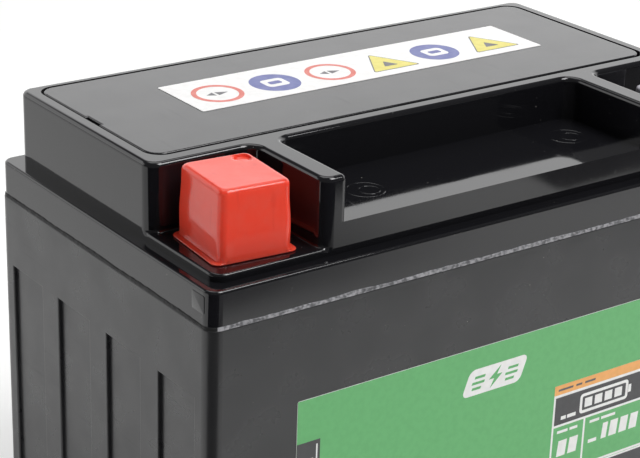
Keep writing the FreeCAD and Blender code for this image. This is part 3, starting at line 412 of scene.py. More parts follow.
def cast_resin():
    """Poured epoxy: glossy, nearly black, with a level skin and a few trapped bubbles."""
    base = linear("#221F24")
    material, tree, shader, place = new_material("poured_epoxy", base, {"IOR": 1.55})
    bubbles = specks(tree, place, 1.6, 0.5, 0.3)
    shade = add_node(tree, "ShaderNodeMix", {
        "Factor": bubbles, FIRST_COLOUR: (*base, 1), SECOND_COLOUR: (*linear("#3D3840"), 1),
    }, data_type="RGBA")[MIXED_COLOUR]
    dress(
        tree, shader, place, shade, (bubbles, 0, 1, 0.12, 0.3),
        (((5.0, 1.0), 0.05, 1.0), (bubbles, 0.05, 1.0)),
    )
    return material


def pasted_plate(name, hex_paste, hex_dry):
    """Lead paste rolled into a cast grid: chalky, with the grid's squares pressed through."""
    base = linear(hex_paste)
    material, tree, shader, place = new_material(name, base, {"IOR": 1.6})
    chalk = add_node(tree, "ShaderNodeTexNoise", {
        "Vector": place, "Scale": per_metre(1.4), "Detail": 5.0,
    })["Fac"]
    squares = add_node(
        tree, "ShaderNodeTexVoronoi",
        {"Vector": place, "Scale": per_metre(6.0), "Randomness": 0.0},
        feature="DISTANCE_TO_EDGE",
    )["Distance"]
    wires = add_node(tree, "ShaderNodeMapRange", {
        "Value": squares, "From Min": 0.03, "From Max": 0.09, "To Min": 1, "To Max": 0,
    }, interpolation_type="SMOOTHSTEP")["Result"]
    shade = tint(tree, chalk, 0.35, 0.7, 0.7, (*base, 1), (*linear(hex_dry), 1))
    shade = add_node(tree, "ShaderNodeMix", {
        "Factor": wires, FIRST_COLOUR: shade, SECOND_COLOUR: (*linear("#77767C"), 1),
    }, data_type="RGBA")[MIXED_COLOUR]
    dress(
        tree, shader, place, shade, (chalk, 0.3, 0.7, 0.7, 0.92),
        ((wires, 0.15, 0.8), (chalk, 0.08, 0.8)),
    )
    return material


def glass_mat():
    """Pressed glass-fibre mat: white, dull and felted, with short crossing fibres, painted darker
    between them as shade in the hollows.
    """
    base = linear("#E9E8E2")
    material, tree, shader, place = new_material("glass_fibre_mat", base, {
        "IOR": 1.5, "Sheen Weight": 0.3, "Sheen Roughness": 0.5,
    })
    along = streaky(tree, place, 0.35, 3.0, (1, 0.12, 1))
    across = streaky(tree, place, 0.35, 3.0, (1, 1, 0.12))
    fibres = add_node(tree, "ShaderNodeMath", {0: along, 1: across}, operation="MAXIMUM")["Value"]
    # Painted shade: the colour darkens where the fibre pattern is low, in the hollows that the
    # bump makes
    painted_hollow_shade = add_node(tree, "ShaderNodeMapRange", {
        "Value": fibres, "From Min": 0.45, "From Max": 0.75, "To Min": 0.5, "To Max": 0,
    }, interpolation_type="SMOOTHSTEP")["Result"]
    shade = add_node(tree, "ShaderNodeMix", {
        "Factor": painted_hollow_shade, FIRST_COLOUR: (*base, 1), SECOND_COLOUR: (*linear("#C3C1B8"), 1),
    }, data_type="RGBA")[MIXED_COLOUR]
    dress(tree, shader, place, shade, (fibres, 0.4, 0.8, 0.8, 0.95), ((fibres, 0.05, 0.9),))
    return material


def lit_floor(base, strength):
    """Pale acrylic floor lit from below: matte, even, with the least mottling."""
    material, tree, shader, place = new_material("lit_acrylic_floor", base, {
        "Roughness": 0.9, "Specular IOR Level": 0.1, "Emission Color": (1, 1, 1, 1),
        "Emission Strength": strength,
    })
    mottle = add_node(tree, "ShaderNodeTexNoise", {
        "Vector": place, "Scale": per_metre(60.0), "Detail": 2.0,
    })["Fac"]
    dimmer = tuple(channel * 0.985 for channel in base)
    shade = add_node(tree, "ShaderNodeMix", {
        "Factor": mottle, FIRST_COLOUR: (*base, 1), SECOND_COLOUR: (*dimmer, 1),
    }, data_type="RGBA")[MIXED_COLOUR]
    tree.links.new(shade, shader.inputs["Base Color"])
    return material


# ---------------------------------------------------------------- meshes


def loft(bm, loops, ink=0, wrap=False):
    """Skins closed loops in order; wrap joins the last to the first, else both ends are capped."""
    rows = [[bm.verts.new(point) for point in loop] for loop in loops]
    count = len(rows[0])
    pairs = list(zip(rows, rows[1:])) + ([(rows[-1], rows[0])] if wrap else [])
    for low, high in pairs:
        for i in range(count):
            j = (i + 1) % count
            bm.faces.new((low[i], low[j], high[j], high[i])).material_index = ink
    if not wrap:
        bm.faces.new(rows[0][::-1]).material_index = ink
        bm.faces.new(rows[-1]).material_index = ink


def rounded_outline(half_x, half_y, radius, corner_steps=8, side_steps=1):
    """Points of a rounded rectangle about the origin, counter-clockwise."""
    points = []
    for quarter, (side_x, side_y) in enumerate(((1, 1), (-1, 1), (-1, -1), (1, -1))):
        middle_x, middle_y = side_x * (half_x - radius), side_y * (half_y - radius)
        for step in range(corner_steps + 1):
            angle = math.pi / 2 * (quarter + step / corner_steps)
            points.append(Vector((
                middle_x + radius * math.cos(angle), middle_y + radius * math.sin(angle)
            )))
    walk = []
    for here, there in zip(points, points[1:] + points[:1]):
        steps = side_steps if (there - here).length > 2 * radius / corner_steps else 1
        walk += [here.lerp(there, step / steps) for step in range(steps)]
    return walk


def finish_piece(bm, name, body, materials, smooth_angle=None):
    """Turns a bmesh into a piece that rides on a body and takes a slot's finish."""
    mesh = bpy.data.meshes.new(name)
    bm.normal_update()
    bm.to_mesh(mesh)
    bm.free()
    piece = bpy.data.objects.new(name, mesh)
    bpy.context.scene.collection.objects.link(piece)
    for material in materials:
        mesh.materials.append(material)
    if smooth_angle:
        mesh.shade_smooth()
        mesh.set_sharp_from_angle(angle=smooth_angle)
    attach(piece, body)
    return piece


# ---------------------------------------------------------------- labels


class Print:
    """Flat closed shapes in layers on a face, drawn in millimetres."""

    def __init__(self, origin, across, up):
        self.origin, self.across, self.up = Vector(origin), Vector(across), Vector(up)
        self.out = self.across.cross(self.up)
        self.bm = bmesh.new()

    def at(self, point, lift):
        """The place, in metres, of a point of the face lifted off it by lift millimetres."""
        x, y = point
        return self.origin + (self.across * x + self.up * y + self.out * lift) * MM

    def shape(self, outline, low, high, ink):
        """A closed outline raised from low to high."""
        loft(self.bm, [[self.at(p, lift) for p in outline] for lift in (low, high)], ink)

    def box(self, x0, y0, x1, y1, low, high, ink, radius=0.0):
        """A rectangle, with rounded corners when it has a radius."""
        if not radius:
            self.shape(((x0, y0), (x1, y0), (x1, y1), (x0, y1)), low, high, ink)
            return
        middle = Vector(((x0 + x1) / 2, (y0 + y1) / 2))
        outline = rounded_outline((x1 - x0) / 2, (y1 - y0) / 2, radius, 6)
        self.shape([middle + p for p in outline], low, high, ink)

    def band(self, outer, inner, low, high, ink):
        """The closed strip between two outlines of equal length."""
        loops = ((outer, low), (outer, high), (inner, high), (inner, low))
        loft(self.bm, [[self.at(p, lift) for p in line] for line, lift in loops], ink, wrap=True)


def circle(x, y, radius, steps=64):
    """Points of a circle, counter-clockwise."""
    angles = [2 * math.pi * i / steps for i in range(steps)]
    return [(x + radius * math.cos(angle), y + radius * math.sin(angle)) for angle in angles]


def triangle(x, y, half, corner, steps=5):
    """An upright triangle about its middle, with rounded corners."""
    reach = half * 2 / math.sqrt(3) - corner
    points = []
    for turn in range(3):
        heading = math.pi / 2 + turn * 2 * math.pi / 3
        middle = Vector((x + reach * math.cos(heading), y + reach * math.sin(heading)))
        for step in range(steps + 1):
            angle = heading - math.pi / 3 + step / steps * 2 * math.pi / 3
            points.append(middle + corner * Vector((math.cos(angle), math.sin(angle))))
    return points


# Heights of the film and of each ink over it, in millimetres, and the number of each ink
FILM, FIRST, SECOND, THIRD, FOURTH = 0.11, 0.135, 0.155, 0.175, 0.19
COVER_FILM, COVER_INKS = 0.10, (0.10, 0.118, 0.134, 0.15)
WHITE, GREEN, DARK, ORANGE, RED, BLUE, YELLOW, INK = range(8)


def label_inks(settings):
    """One printed film for each ink, in the order of the ink numbers."""
    names = ("white", "green", "dark", "orange", "red", "blue", "yellow", "ink")
    return [
        bpy.data.materials.get(f"printed_film_{name}")
        or printed_film(f"printed_film_{name}", tuple(getattr(settings, name)))
        for name in names
    ]


def draw_words(sheet, x, y, widths, height, gap, low, high, ink, lean=0.0):
    """A line of plain bars where words would be."""
    for width in widths:
        end, slant, top = x + width, height * lean, y + height
        outline = ((x, y), (end, y), (end + slant, top), (x + slant, top))
        sheet.shape(outline, low, high, ink)
        x += width + gap


def draw_front_label(sheet, low, high):
    """Green field over a dark band, with a white line between them, in places from the case."""
    edge, line = 0.06, 0.5
    left, foot, right, top = low[0] + edge, low[1] + edge, high[0] - edge, high[1] - edge
    band_top, block_right, block_top = 20.3, -47.9, 50.0
    sheet.box(low[0], low[1], high[0], high[1], 0, FILM, WHITE, 0.4)
    sheet.box(left, band_top + line, right, top, FILM, FIRST, GREEN)
    sheet.box(left, foot, right, band_top, FILM, FIRST, DARK)
    sheet.box(left, band_top + line, block_right, block_top, FIRST, SECOND, DARK)
    draw_words(sheet, -50.7, 24.0, (1.1,), 22.0, 1.0, SECOND, THIRD, WHITE)
    draw_words(sheet, -48.9, 24.0, (0.35,), 25.0, 1.0, SECOND, THIRD, WHITE)
    draw_emblem(sheet, -1.3, 51.6)
    draw_figures(sheet)


def draw_figures(sheet):
    """The framed panel: an orange strip, a dark panel and two green fields with plain bars."""
    left, foot, right, top = 16.9, 20.9, 48.5, 44.0
    line, divider, strip_foot, dark_foot, dark_top = 0.55, 26.9, 41.6, 33.9, 40.9
    inner_left, inner_right, field_foot, field_top = left + line, right - line, 21.5, 33.3
    sheet.box(left, foot, right, top, FIRST, SECOND, WHITE)
    sheet.box(left, strip_foot, right, top, SECOND, THIRD, ORANGE)
    draw_words(sheet, left + 1.1, 42.5, (4.4, 1.8, 3.2), 0.5, 0.9, THIRD, FOURTH, INK, 0.2)
    sheet.box(inner_left, dark_foot, inner_right, dark_top, SECOND, THIRD, DARK)
    draw_cell_sign(sheet, 25.0, 34.9)
    sheet.box(inner_left, field_foot, divider - 0.3, field_top, SECOND, THIRD, GREEN)
    sheet.box(divider + 0.3, field_foot, inner_right, field_top, SECOND, THIRD, GREEN)
    for x, widths in ((18.6, (3.2, 2.4)), (28.6, (3.0, 4.4))):
        draw_words(sheet, x, 31.6, widths, 0.7, 0.6, THIRD, FOURTH, WHITE)
    draw_words(sheet, 18.9, 25.6, (2.6, 2.6), 4.0, 0.8, THIRD, FOURTH, WHITE, 0.1)
    draw_words(sheet, 32.6, 26.4, (1.6, 2.4, 2.4, 2.4), 4.0, 0.8, THIRD, FOURTH, WHITE, 0.1)
    draw_words(sheet, 28.6, 26.4, (2.6,), 0.9, 0.5, THIRD, FOURTH, WHITE)


def draw_emblem(sheet, x, y):
    """A plain white badge with a bolt through it."""
    half_long, half_high, lean = 8.2, 3.1, 1.1
    badge = [
        (x + p.x + p.y / half_high * lean, y + p.y)
        for p in rounded_outline(half_long, half_high, 1.5, 6)
    ]
    sheet.shape(badge, FIRST, SECOND, WHITE)
    bolt = (
        (1.5, 2.5), (-1.7, -0.35), (-0.25, -0.35), (-1.3, -2.5), (1.9, 0.45), (0.45, 0.45)
    )
    sheet.shape([(x + a * 1.05, y + b) for a, b in bolt[::-1]], SECOND, THIRD, GREEN)
    for side in (-1, 1):
        for row, wide in ((0.75, 2.9), (-0.55, 3.5), (-1.85, 2.5)):
            start = x + side * 4.7 - wide / 2 + row * 0.35
            draw_words(sheet, start, y + row, (wide,), 0.6, 0, SECOND, THIRD, GREEN, 0.35)


def draw_cell_sign(sheet, x, y):
    """A plain picture of a charged cell: an outline with a terminal and four bars."""
    long, high, line = 15.0, 5.0, 0.75
    outer = rounded_outline(long / 2, high / 2, 0.9, 5)
    inner = rounded_outline(long / 2 - line, high / 2 - line, 0.35, 5)
    middle = Vector((x + long / 2, y + high / 2))
    sheet.band(
        [middle + p for p in outer], [middle + p for p in inner], THIRD, FOURTH, WHITE
    )
    end = x + long
    sheet.box(end + 0.1, y + high * 0.3, end + 1.0, y + high * 0.7, THIRD, FOURTH, WHITE)
    draw_words(sheet, x + 1.5, y + 1.35, (2.3,) * 4, high - 2.7, 0.8, THIRD, FOURTH, WHITE)
    draw_words(sheet, x - 5.6, y + 0.1, (1.5, 2.6), 0.9, 0.4, THIRD, FOURTH, WHITE)


def draw_cover_label(sheet, low, high, size, pitch):
    """White strip with two rings, two discs and two triangles, each round a plain mark."""
    sheet.box(low[0], low[1], high[0], high[1], 0, COVER_FILM, WHITE, 0.5)
    start, middle = (low[0] + high[0]) / 2 - 2.55 * pitch, (low[1] + high[1]) / 2 - 0.7
    for index, kind in enumerate(("ring", "disc", "ring", "triangle", "disc", "triangle")):
        x = start + index * pitch
        {"ring": draw_ring, "disc": draw_disc, "triangle": draw_triangle}[kind](
            sheet, x, middle, size / 2, COVER_INKS
        )


def draw_ring(sheet, x, y, radius, levels):
    """A red ring round a small grey lozenge and a bar."""
    sheet.band(circle(x, y, radius), circle(x, y, radius * 0.80), *levels[:2], RED)
    lozenge = ((x - 2.9, y), (x - 0.6, y - 1.3), (x + 2.6, y - 0.1), (x - 0.6, y + 1.2))
    sheet.shape(lozenge, *levels[:2], INK)
    sheet.box(x - 0.9, y - 2.6, x - 0.3, y + 2.6, *levels[1:3], WHITE)


def draw_disc(sheet, x, y, radius, levels):
    """A blue disc with a white rounded square and a blue bar in it."""
    sheet.shape(circle(x, y, radius), *levels[:2], BLUE)
    sheet.box(x - 2.9, y - 2.5, x + 2.9, y + 2.5, *levels[1:3], WHITE, 1.2)
    sheet.box(x - 1.6, y - 0.9, x + 1.6, y + 0.9, *levels[2:4], BLUE, 0.5)


def draw_triangle(sheet, x, y, radius, levels):
    """A yellow triangle with a thin dark outline and a smaller triangle in it."""
    y -= 1.7
    half = radius * 1.07
    sheet.shape(triangle(x, y, half, 0.5), *levels[:2], INK)
    sheet.shape(triangle(x, y, half - 0.35, 0.35), *levels[1:3], YELLOW)
    sheet.shape(triangle(x, y - 0.4, half * 0.28, 0.2), *levels[2:4], INK)


# ------------------------------------------------------------ operators


def finishes(plastics):
    """The material of every slot that a carried-over CAD piece has."""
    return {
        "case_plastic": moulded_plastic(
            "moulded_abs_case", tuple(plastics.case_colour),
            roughness=0.30, ripple=0.05, grain=0.004, dust=0.10,
        ),
        "lid_plastic": moulded_plastic(
            "moulded_abs_lid", tuple(plastics.lid_colour),
            roughness=0.055, ripple=0.02, grain=0.0004, dust=0.16,
        ),
        "cover_plastic": moulded_plastic(
            "moulded_abs_vent_cover", tuple(plastics.cover_colour),
            roughness=0.17, ripple=0.04, grain=0.0015, dust=0.10,
        ),
        "valve_rubber": moulded_rubber(),
        "terminal_lead": cast_lead(),
        "nut_steel": zinc_plate(),
        "potting_resin": cast_resin(),
        "grid_lead": pasted_plate("sponge_lead_on_cast_grid", "#77777D", "#93939A"),
        "positive_plate_lead": pasted_plate("lead_dioxide_on_cast_grid", "#4A2B20", "#6B4434"),
        "glass_mat": glass_mat(),
    }


class BATTERY_OT_finish_cad(bpy.types.Operator):
    """Gives every moulded, cast and pasted CAD piece its material and its shading"""

    bl_idname = "battery.finish_cad"
    bl_label = "Finish the CAD pieces"

    def execute(self, context):
        by_slot = finishes(context.scene.battery_plastics)
        for name, node in frame["nodes"].items():
            material = by_slot.get(SLOT_OF_NODE[name])
            if material is None:
                continue
            node.data.materials.clear()
            node.data.materials.append(material)
            shading = node.modifiers.new("face_weighted_shading", "WEIGHTED_NORMAL")
            shading.keep_sharp = True
            shading.weight = 100
        return {"FINISHED"}


class BATTERY_OT_weld_bead(bpy.types.Operator):
    """Adds the weld's lumpy bead: pale on the long sides, and dark matte at the ends as painted
    shade along the seam
    """

    bl_idname = "battery.weld_bead"
    bl_label = "Add the weld bead"

    def execute(self, context):
        settings = context.scene.battery_plastics
        low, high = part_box("lid")
        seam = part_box("case")[1].z
        half_x, half_y = (high.x - low.x) / 2, (high.y - low.y) / 2
        tall, deep = settings.bead_height, settings.bead_depth
        buried, corner, painted_shade_end_zone = 0.25 * MM, 2.8 * MM, 1.6 * MM
        corner_steps, side_steps, profile_steps = 12, 260, 10
        path = rounded_outline(half_x, half_y, corner, corner_steps, side_steps)
        loops = []
        for step in range(profile_steps + 1):
            angle = math.pi * (step / profile_steps - 0.5)
            loops.append(self.bead_line(path, angle, seam, tall, deep))
        inward = [Vector((p.x, p.y, 0)) for p in rounded_outline(
            half_x - buried, half_y - buried, corner - buried, corner_steps, side_steps
        )]
        for lift in (0.3, -0.3):
            loops.append([p + Vector((0, 0, seam + lift * tall)) for p in inward])
        bm = bmesh.new()
        loft(bm, loops, wrap=True)
        # Painted shade: faces at the short ends take the dark matte flash, standing in for the
        # dark line along the seam there
        for face in bm.faces:
            face.material_index = abs(face.calc_center_median().x) > half_x - painted_shade_end_zone
        finish_piece(
            bm, "weld_bead", "battery",
            [
                weld_flash("welded_abs_flash", "#59595C", "#A3A2A6", 0.35),
                weld_flash("trimmed_abs_flash", "#0A0A0B", "#1C1C1E", 0.6),
            ],
            math.radians(50),
        )
        return {"FINISHED"}

    @staticmethod
    def bead_line(path, angle, seam, tall, deep):
        """One line of the bead's skin, at an angle of its half-round section."""
        line = []
        count = len(path)
        for i, point in enumerate(path):
            run = path[(i + 1) % count] - path[i - 1]
            out = Vector((run.y, -run.x)).normalized()
            lump = noise.noise(Vector((point.x, point.y, angle * 0.0003)) / (1.5 * MM))
            swell = noise.noise(Vector((point.x, point.y, 0)) / (9 * MM))
            reach = deep * (0.82 + 0.12 * swell + 0.10 * lump) * math.cos(angle) ** 0.7
            height = tall / 2 * (0.80 + 0.28 * swell + 0.16 * lump) * math.sin(angle)
            spot = point + out * min(reach, deep)
            line.append(Vector((spot.x, spot.y, seam + height)))
        return line


class BATTERY_OT_mould_marks(bpy.types.Operator):
    """Adds the ejector rings on the recess floor and the gate mark on the skirt"""

    bl_idname = "battery.mould_marks"
    bl_label = "Add the mould marks"

    # Millimetres: each ejector's place and radius, and where the gate was
    ejectors = ((-27.2, -28.2, 4.1), (31.6, -25.2, 4.3))
    recess_floor, ring_height = 95.15, 0.05
    ridge = ((-1, -0.03), (-0.8, 0.4), (-0.4, 0.9), (0, 1), (0.4, 0.9), (0.8, 0.4), (1, -0.03))
    gate_y, gate_z = -38.75, 85.2
    smooth_angle = math.radians(60)

    def execute(self, context):
        self.material = next(
            m for m in frame["nodes"]["lid"].data.materials if m.name.startswith("moulded_abs_lid")
        )
        bm = bmesh.new()
        for x, y, radius in self.ejectors:
            self.add_ring(bm, x, y, radius, 0.28)
            self.add_ring(bm, x + 0.6, y - 0.5, radius * 0.55, 0.22)
        self.finish(bm, "ejector_rings")

        bm = bmesh.new()
        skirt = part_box("lid")[0].x / MM
        outline = rounded_outline(2.15, 1.9, 0.35, 4)
        loops = []
        for inset, proud in ((0.0, -0.15), (0.0, 0.06), (0.12, 0.10)):
            share = 1 - inset / 2
            loops.append([
                Vector((skirt - proud, self.gate_y - p.x * share, self.gate_z + p.y * share)) * MM
                for p in outline
            ])
        loft(bm, loops)
        self.finish(bm, "gate_mark")
        return {"FINISHED"}

    def finish(self, bm, name):
        """Gives a mark the lid's own plastic."""
        finish_piece(bm, name, "battery", [self.material], self.smooth_angle)

    def add_ring(self, bm, x, y, radius, wide):
        """A low half-round ridge in a circle on the recess floor."""
        loops = []
        for turn, lift in self.ridge:
            height = self.recess_floor + lift * self.ring_height
            loops.append([
                Vector((px, py, height)) * MM
                for px, py in circle(x, y, radius - turn * wide / 2, 96)
            ])
        loft(bm, loops, wrap=True)


class BATTERY_OT_soft_cap(bpy.types.Operator):
    """Makes the hollow vinyl cap of the positive terminal"""

    bl_idname = "battery.soft_cap"
    bl_label = "Make the terminal cap"

    # Millimetres: the cap stands a little askew and narrows towards its top
    turn, taper = math.radians(-4.8), math.tan(math.radians(1.0))
    long, wide, high = 16.2, 18.6, 15.2
    corner, edge, room_corner = 1.7, 1.1, 0.5
    lip_long, lip_wide, lip_top = 19.0, 18.9, 0.40

    def execute(self, context):
        settings = context.scene.battery_cap
        low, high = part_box("positive_cap")
        centre = Vector(((low.x + high.x) / 2, (low.y + high.y) / 2, low.z))
        place = Matrix.Translation(centre) @ Matrix.Rotation(self.turn, 4, "Z")
        loops = [
            [place @ (Vector(p) * MM) for p in loop] for loop in self.skin(settings)
        ]
        bm = bmesh.new()
        loft(bm, loops)
        cap = finish_piece(
            bm, "terminal_cap_red", "terminal_cap",
            [dipped_vinyl(tuple(settings.cap_colour))], math.radians(60),
        )
        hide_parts("positive_cap")
        return {"FINISHED"}

    def ring(self, half_x, half_y, radius, height):
        """One level of the cap: its outline and its height."""
        outline = rounded_outline(half_x, half_y, max(radius, 0.12), 10, 26)
        return [Vector((p.x, p.y, height)) for p in outline]

    def skin(self, settings):
        """Levels from the ceiling inside, down to the foot, over the lip and up to the top."""
        wall, bulge = settings.wall / MM, settings.bulge / MM
        lean = self.taper * self.high
        room_x, room_y = self.long / 2 - wall - lean, self.wide / 2 - wall - lean
        ceiling = self.high - wall
        levels = [
            self.ring(room_x * s, room_y * s, self.room_corner * s, ceiling)
            for s in (0.3, 0.75, 1.0)
        ]
        levels += [
            self.ring(room_x, room_y, self.room_corner, z)
            for z in (ceiling - 0.3, 8.0, 2.0, 0.3, 0.0)
        ]
        for inset, z in ((0.2, 0.0), (0.04, 0.06), (0.0, 0.16), (0.04, 0.28), (0.2, 0.36)):
            levels.append(self.ring(
                self.lip_long / 2 - inset, self.lip_wide / 2 - inset * 0.5, self.corner, z
            ))
        top = self.high - self.edge
        steps = 26
        for step in range(steps + 1):
            z = self.lip_top + (top - self.lip_top) * step / steps
            flare = 0.15 * math.exp(-(z - self.lip_top) / 0.3)
            belly = bulge * math.sin(math.pi * min(z / 11.5, 1.0)) ** 1.5
            out = flare + belly - self.taper * z
            levels.append(self.ring(self.long / 2 + out, self.wide / 2 + out, self.corner, z))
        rim_x = self.long / 2 - self.taper * top
        rim_y = self.wide / 2 - self.taper * top
        for step in range(1, 9):
            angle = math.pi / 2 * step / 8
            inset = self.edge * (1 - math.cos(angle))
            levels.append(self.ring(
                rim_x - inset, rim_y - inset, self.corner - 0.5 * inset,
                top + self.edge * math.sin(angle),
            ))
        levels += self.crown(rim_x - self.edge, rim_y - self.edge, settings)
        return levels

    def crown(self, half_x, half_y, settings):
        """Top of the cap: it sinks a little and has a round dimple near one corner."""
        radius, depth = settings.dimple_radius / MM, settings.dimple_depth / MM
        lean = self.taper * self.high
        dimple = Vector((
            self.long / 2 - lean - 0.9 - radius, self.wide / 2 - lean - 0.9 - radius
        ))
        rings = []
        count = 44
        for step in range(1, count):
            share = 1 - step / count
            level = self.ring(half_x * share, half_y * share, 1.15 * share, self.high)
            for point in level:
                gap = (point.xy - dimple).length
                slope = min(max((radius + 0.12 - gap) / 0.30, 0), 1)
                point.z -= depth * slope * slope * (3 - 2 * slope)
                point.z -= 0.10 * (1 - max(abs(point.x) / half_x, abs(point.y) / half_y) ** 2)
            rings.append(level)
        return rings


class BATTERY_OT_front_label(bpy.types.Operator):
    """Prints the green label on the front of the case"""

    bl_idname = "battery.front_label"
    bl_label = "Print the front label"

    def execute(self, context):
        low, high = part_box("front_label")
        sheet = Print((0, high.y, 0), (1, 0, 0), (0, 0, 1))
        draw_front_label(sheet, (low.x / MM, low.z / MM), (high.x / MM, high.z / MM))
        label = finish_piece(
            sheet.bm, "front_label_print", "battery",
            label_inks(context.scene.battery_labels),
        )
        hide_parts("front_label")
        return {"FINISHED"}


class BATTERY_OT_cover_label(bpy.types.Operator):
    """Prints the white strip of coloured shapes on the vent cover"""

    bl_idname = "battery.cover_label"
    bl_label = "Print the cover label"

    def execute(self, context):
        settings = context.scene.battery_labels
        low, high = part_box("cover_label")
        sheet = Print((0, 0, low.z), (1, 0, 0), (0, 1, 0))
        draw_cover_label(
            sheet, (low.x / MM, low.y / MM), (high.x / MM, high.y / MM),
            settings.symbol_size / MM, settings.symbol_pitch / MM,
        )
        label = finish_piece(
            sheet.bm, "cover_label_print", "cover", label_inks(settings)
        )
        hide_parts("cover_label")
        return {"FINISHED"}


class BATTERY_OT_stage(bpy.types.Operator):
    """Sets the floor, the soft boxes, a sheet of painted dark reflection, the backdrop's glow and
    the camera
    """

    bl_idname = "battery.stage"
    bl_label = "Set the studio"

    # Direction from the battery, distance and width of each soft box, in metres
    key_place = ((0.24, -0.42, 0.87), 0.95, 0.42)
    fill_place = ((0.15, 0.30, 0.94), 1.1, 0.7)
    backdrop_side = (0.45, 0.89, 0)

    def execute(self, context):
        settings = context.scene.battery_stage
        self.lay_floor(settings)
        self.hang_painted_dark_reflection()
        self.hang_light("key_soft_box", *self.key_place, settings.key_radiance)
        self.hang_light("fill_soft_box", *self.fill_place, settings.fill_radiance)
        self.glow(context.scene, settings, self.backdrop_side)
        self.set_camera(context.scene, settings)
        context.scene.view_settings.view_transform = "Standard"
        return {"FINISHED"}

    @staticmethod
    def flat_piece(name, corners, height, material):
        """A flat sheet of the stage."""
        bm = bmesh.new()
        bm.faces.new([bm.verts.new((x, y, height)) for x, y in corners])
        mesh = bpy.data.meshes.new(name)
        bm.to_mesh(mesh)
        bm.free()
        mesh.materials.append(material)
        piece = bpy.data.objects.new(name, mesh)
        bpy.context.scene.collection.objects.link(piece)
        return piece

    def lay_floor(self, settings):
        """A floor far wider than the view, at the battery's foot."""
        reach = 4.0
        corners = ((-reach, -reach), (reach, -reach), (reach, reach), (-reach, reach))
        material = lit_floor(tuple(settings.floor_colour), settings.floor_glow)
        self.flat_piece("studio_floor", corners, 0, material)

    def hang_painted_dark_reflection(self):
        """A soft-edged black sheet that only reflections see: painted shade in the reflections on
        the near, front-left side.
        """
        painted_shade_material, tree, shader, place = new_material("black_flag_cloth", linear("#050505"), {
            "Roughness": 1.0, "Specular IOR Level": 0.0,
        })
        axes = add_node(tree, "ShaderNodeSeparateXYZ", {"Vector": place})
        end = CAD_BOX[0].x / MM
        fades = []
        # Millimetres along an axis, and how shut the painted dark sheet is at each of the two
        # places
        for axis, start, stop, at_start, at_stop in (
            ("X", end - 4, end - 1, 1, 0), ("Y", -260, -225, 1, 0),
            ("Y", -205, -180, 1, 0), ("X", 30, 150, 0.75, 0),
            ("Y", -212, -206, 1, 0), ("X", 176, 182, 0, 0.9),
        ):
            fades.append(add_node(tree, "ShaderNodeMapRange", {
                "Value": axes[axis], "From Min": start * MM, "From Max": stop * MM,
                "To Min": at_start, "To Max": at_stop,
            }, interpolation_type="SMOOTHSTEP")["Result"])
        shut, front, *crossed = fades
        painted_shade_bands = [front]
        # Painted shade: two bands of dark reflection over the middle of the front
        for first, second in (crossed[:2], crossed[2:]):
            painted_shade_bands.append(add_node(
                tree, "ShaderNodeMath", {0: first, 1: second}, operation="MULTIPLY"
            )["Value"])
        for shadow in painted_shade_bands:
            shut = add_node(
                tree, "ShaderNodeMath", {0: shut, 1: shadow}, operation="MAXIMUM"
            )["Value"]
        tree.links.new(shut, shader.inputs["Alpha"])
        far, near_y = 1.5, CAD_BOX[0].y - 2 * MM
        corners = ((-far, -far), (far, -far), (far, near_y), (-far, near_y))
        # Painted shade: the black sheet is hidden from the camera, from light and from shadows,
        # and only darkens reflections
        dark_reflection_sheet = self.flat_piece("black_flag", corners, 1 * MM, painted_shade_material)
        dark_reflection_sheet.visible_camera = False
        dark_reflection_sheet.visible_diffuse = False
        dark_reflection_sheet.visible_shadow = False
        dark_reflection_sheet.visible_transmission = False

    @staticmethod
    def hang_light(name, direction, distance, size, radiance):
        """A square soft box aimed at the battery, with the radiance of its face given."""
        lamp = bpy.data.lights.new(name, "AREA")
        lamp.shape = "SQUARE"
        lamp.size = size
        lamp.energy = radiance * math.pi * size * size
        holder = bpy.data.objects.new(name, lamp)
        aim = Vector(direction).normalized()
        holder.location = aim * distance
        holder.rotation_euler = aim.to_track_quat("Z", "Y").to_euler()
        bpy.context.scene.collection.objects.link(holder)

    @staticmethod
    def glow(scene, settings, backdrop_side):
        """A backdrop that is bright behind the battery, and dark above and on the near side."""
        world = bpy.data.worlds.new("studio_backdrop")
        world.use_nodes = True
        tree = world.node_tree
        background = tree.nodes["Background"]
        direction = add_node(tree, "ShaderNodeTexCoord")["Generated"]
        height = add_node(tree, "ShaderNodeSeparateXYZ", {"Vector": direction})["Z"]
        behind = add_node(
            tree, "ShaderNodeVectorMath", {0: direction, 1: backdrop_side},
            operation="DOT_PRODUCT",
        )["Value"]
        low, lit_side = (
            add_node(tree, "ShaderNodeMapRange", {
                "Value": value, "From Min": start, "From Max": stop,
                "To Min": at_start, "To Max": at_stop,
            }, interpolation_type="SMOOTHSTEP")["Result"]
            for value, start, stop, at_start, at_stop in (
                (height, 0.46, 0.60, 1, 0), (behind, -0.15, 0.35, 0, 1),
            )
        )
        lit = add_node(
            tree, "ShaderNodeMath", {0: low, 1: lit_side}, operation="MULTIPLY"
        )["Value"]
        strength = add_node(tree, "ShaderNodeMapRange", {
            "Value": lit, "From Min": 0, "From Max": 1,
            "To Min": settings.ceiling, "To Max": settings.horizon,
        }, interpolation_type="SMOOTHSTEP")["Result"]
        tree.links.new(strength, background.inputs["Strength"])
        background.inputs["Color"].default_value = (1, 1, 1, 1)
        scene.world = world

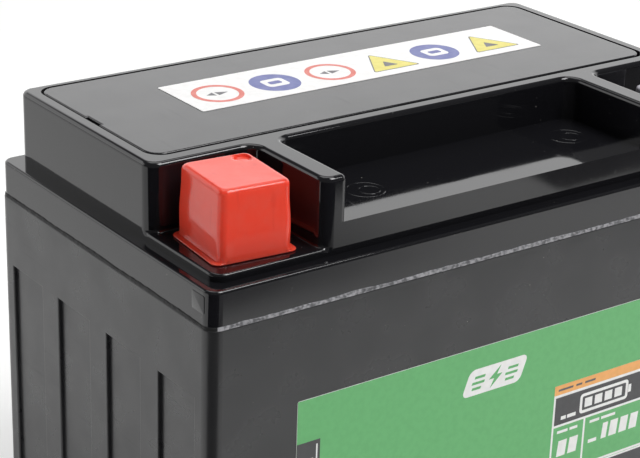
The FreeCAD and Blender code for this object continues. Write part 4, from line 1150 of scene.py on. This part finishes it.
    @staticmethod
    def set_camera(scene, settings):
        """A camera turned about the battery, aimed at a point in the plane of its front."""
        lens = bpy.data.cameras.new("studio_camera")
        lens.sensor_width = 36
        lens.lens = settings.lens
        lens.clip_start, lens.clip_end = 0.01, 50
        camera = bpy.data.objects.new("studio_camera", lens)
        turn = (
            Matrix.Rotation(settings.azimuth, 4, "Z")
            @ Matrix.Rotation(math.pi / 2 - settings.elevation, 4, "X")
            @ Matrix.Rotation(settings.roll, 4, "Z")
        )
        aim = Vector((-settings.aim_left, CAD_BOX[0].y, settings.aim_height))
        backward = turn.to_3x3() @ Vector((0, 0, 1))
        camera.matrix_world = Matrix.Translation(aim + backward * settings.distance) @ turn
        scene.collection.objects.link(camera)
        scene.camera = camera


class BATTERY_PT_sidebar(bpy.types.Panel):
    """Lists the sizes, the colours and the steps"""

    bl_idname = "BATTERY_PT_sidebar"
    bl_label = "Battery"
    bl_space_type = "VIEW_3D"
    bl_region_type = "UI"
    bl_category = "Battery"

    def draw(self, context):
        for group, title in GROUPS.values():
            box = self.layout.box()
            box.label(text=title)
            settings = getattr(context.scene, group)
            for name in settings.__annotations__:
                box.prop(settings, name)
        for operator in OPERATORS:
            self.layout.operator(operator.bl_idname)


GROUPS = {
    StageSettings: ("battery_stage", "Studio"),
    PlasticSettings: ("battery_plastics", "Black mouldings"),
    CapSettings: ("battery_cap", "Terminal cap"),
    LabelSettings: ("battery_labels", "Labels"),
}
OPERATORS = (
    BATTERY_OT_finish_cad,
    BATTERY_OT_weld_bead,
    BATTERY_OT_mould_marks,
    BATTERY_OT_soft_cap,
    BATTERY_OT_front_label,
    BATTERY_OT_cover_label,
    BATTERY_OT_stage,
)


def register():
    for group, (name, _) in GROUPS.items():
        bpy.utils.register_class(group)
        setattr(bpy.types.Scene, name, PointerProperty(type=group))
    for kind in (*OPERATORS, BATTERY_PT_sidebar):
        bpy.utils.register_class(kind)


def unregister():
    for kind in (BATTERY_PT_sidebar, *reversed(OPERATORS)):
        bpy.utils.unregister_class(kind)
    for group, (name, _) in reversed(GROUPS.items()):
        delattr(bpy.types.Scene, name)
        bpy.utils.unregister_class(group)


def main():
    register()
    for operator in OPERATORS:
        group, action = operator.bl_idname.split(".")
        getattr(getattr(bpy.ops, group), action)()


if __name__ == "__main__":
    main()
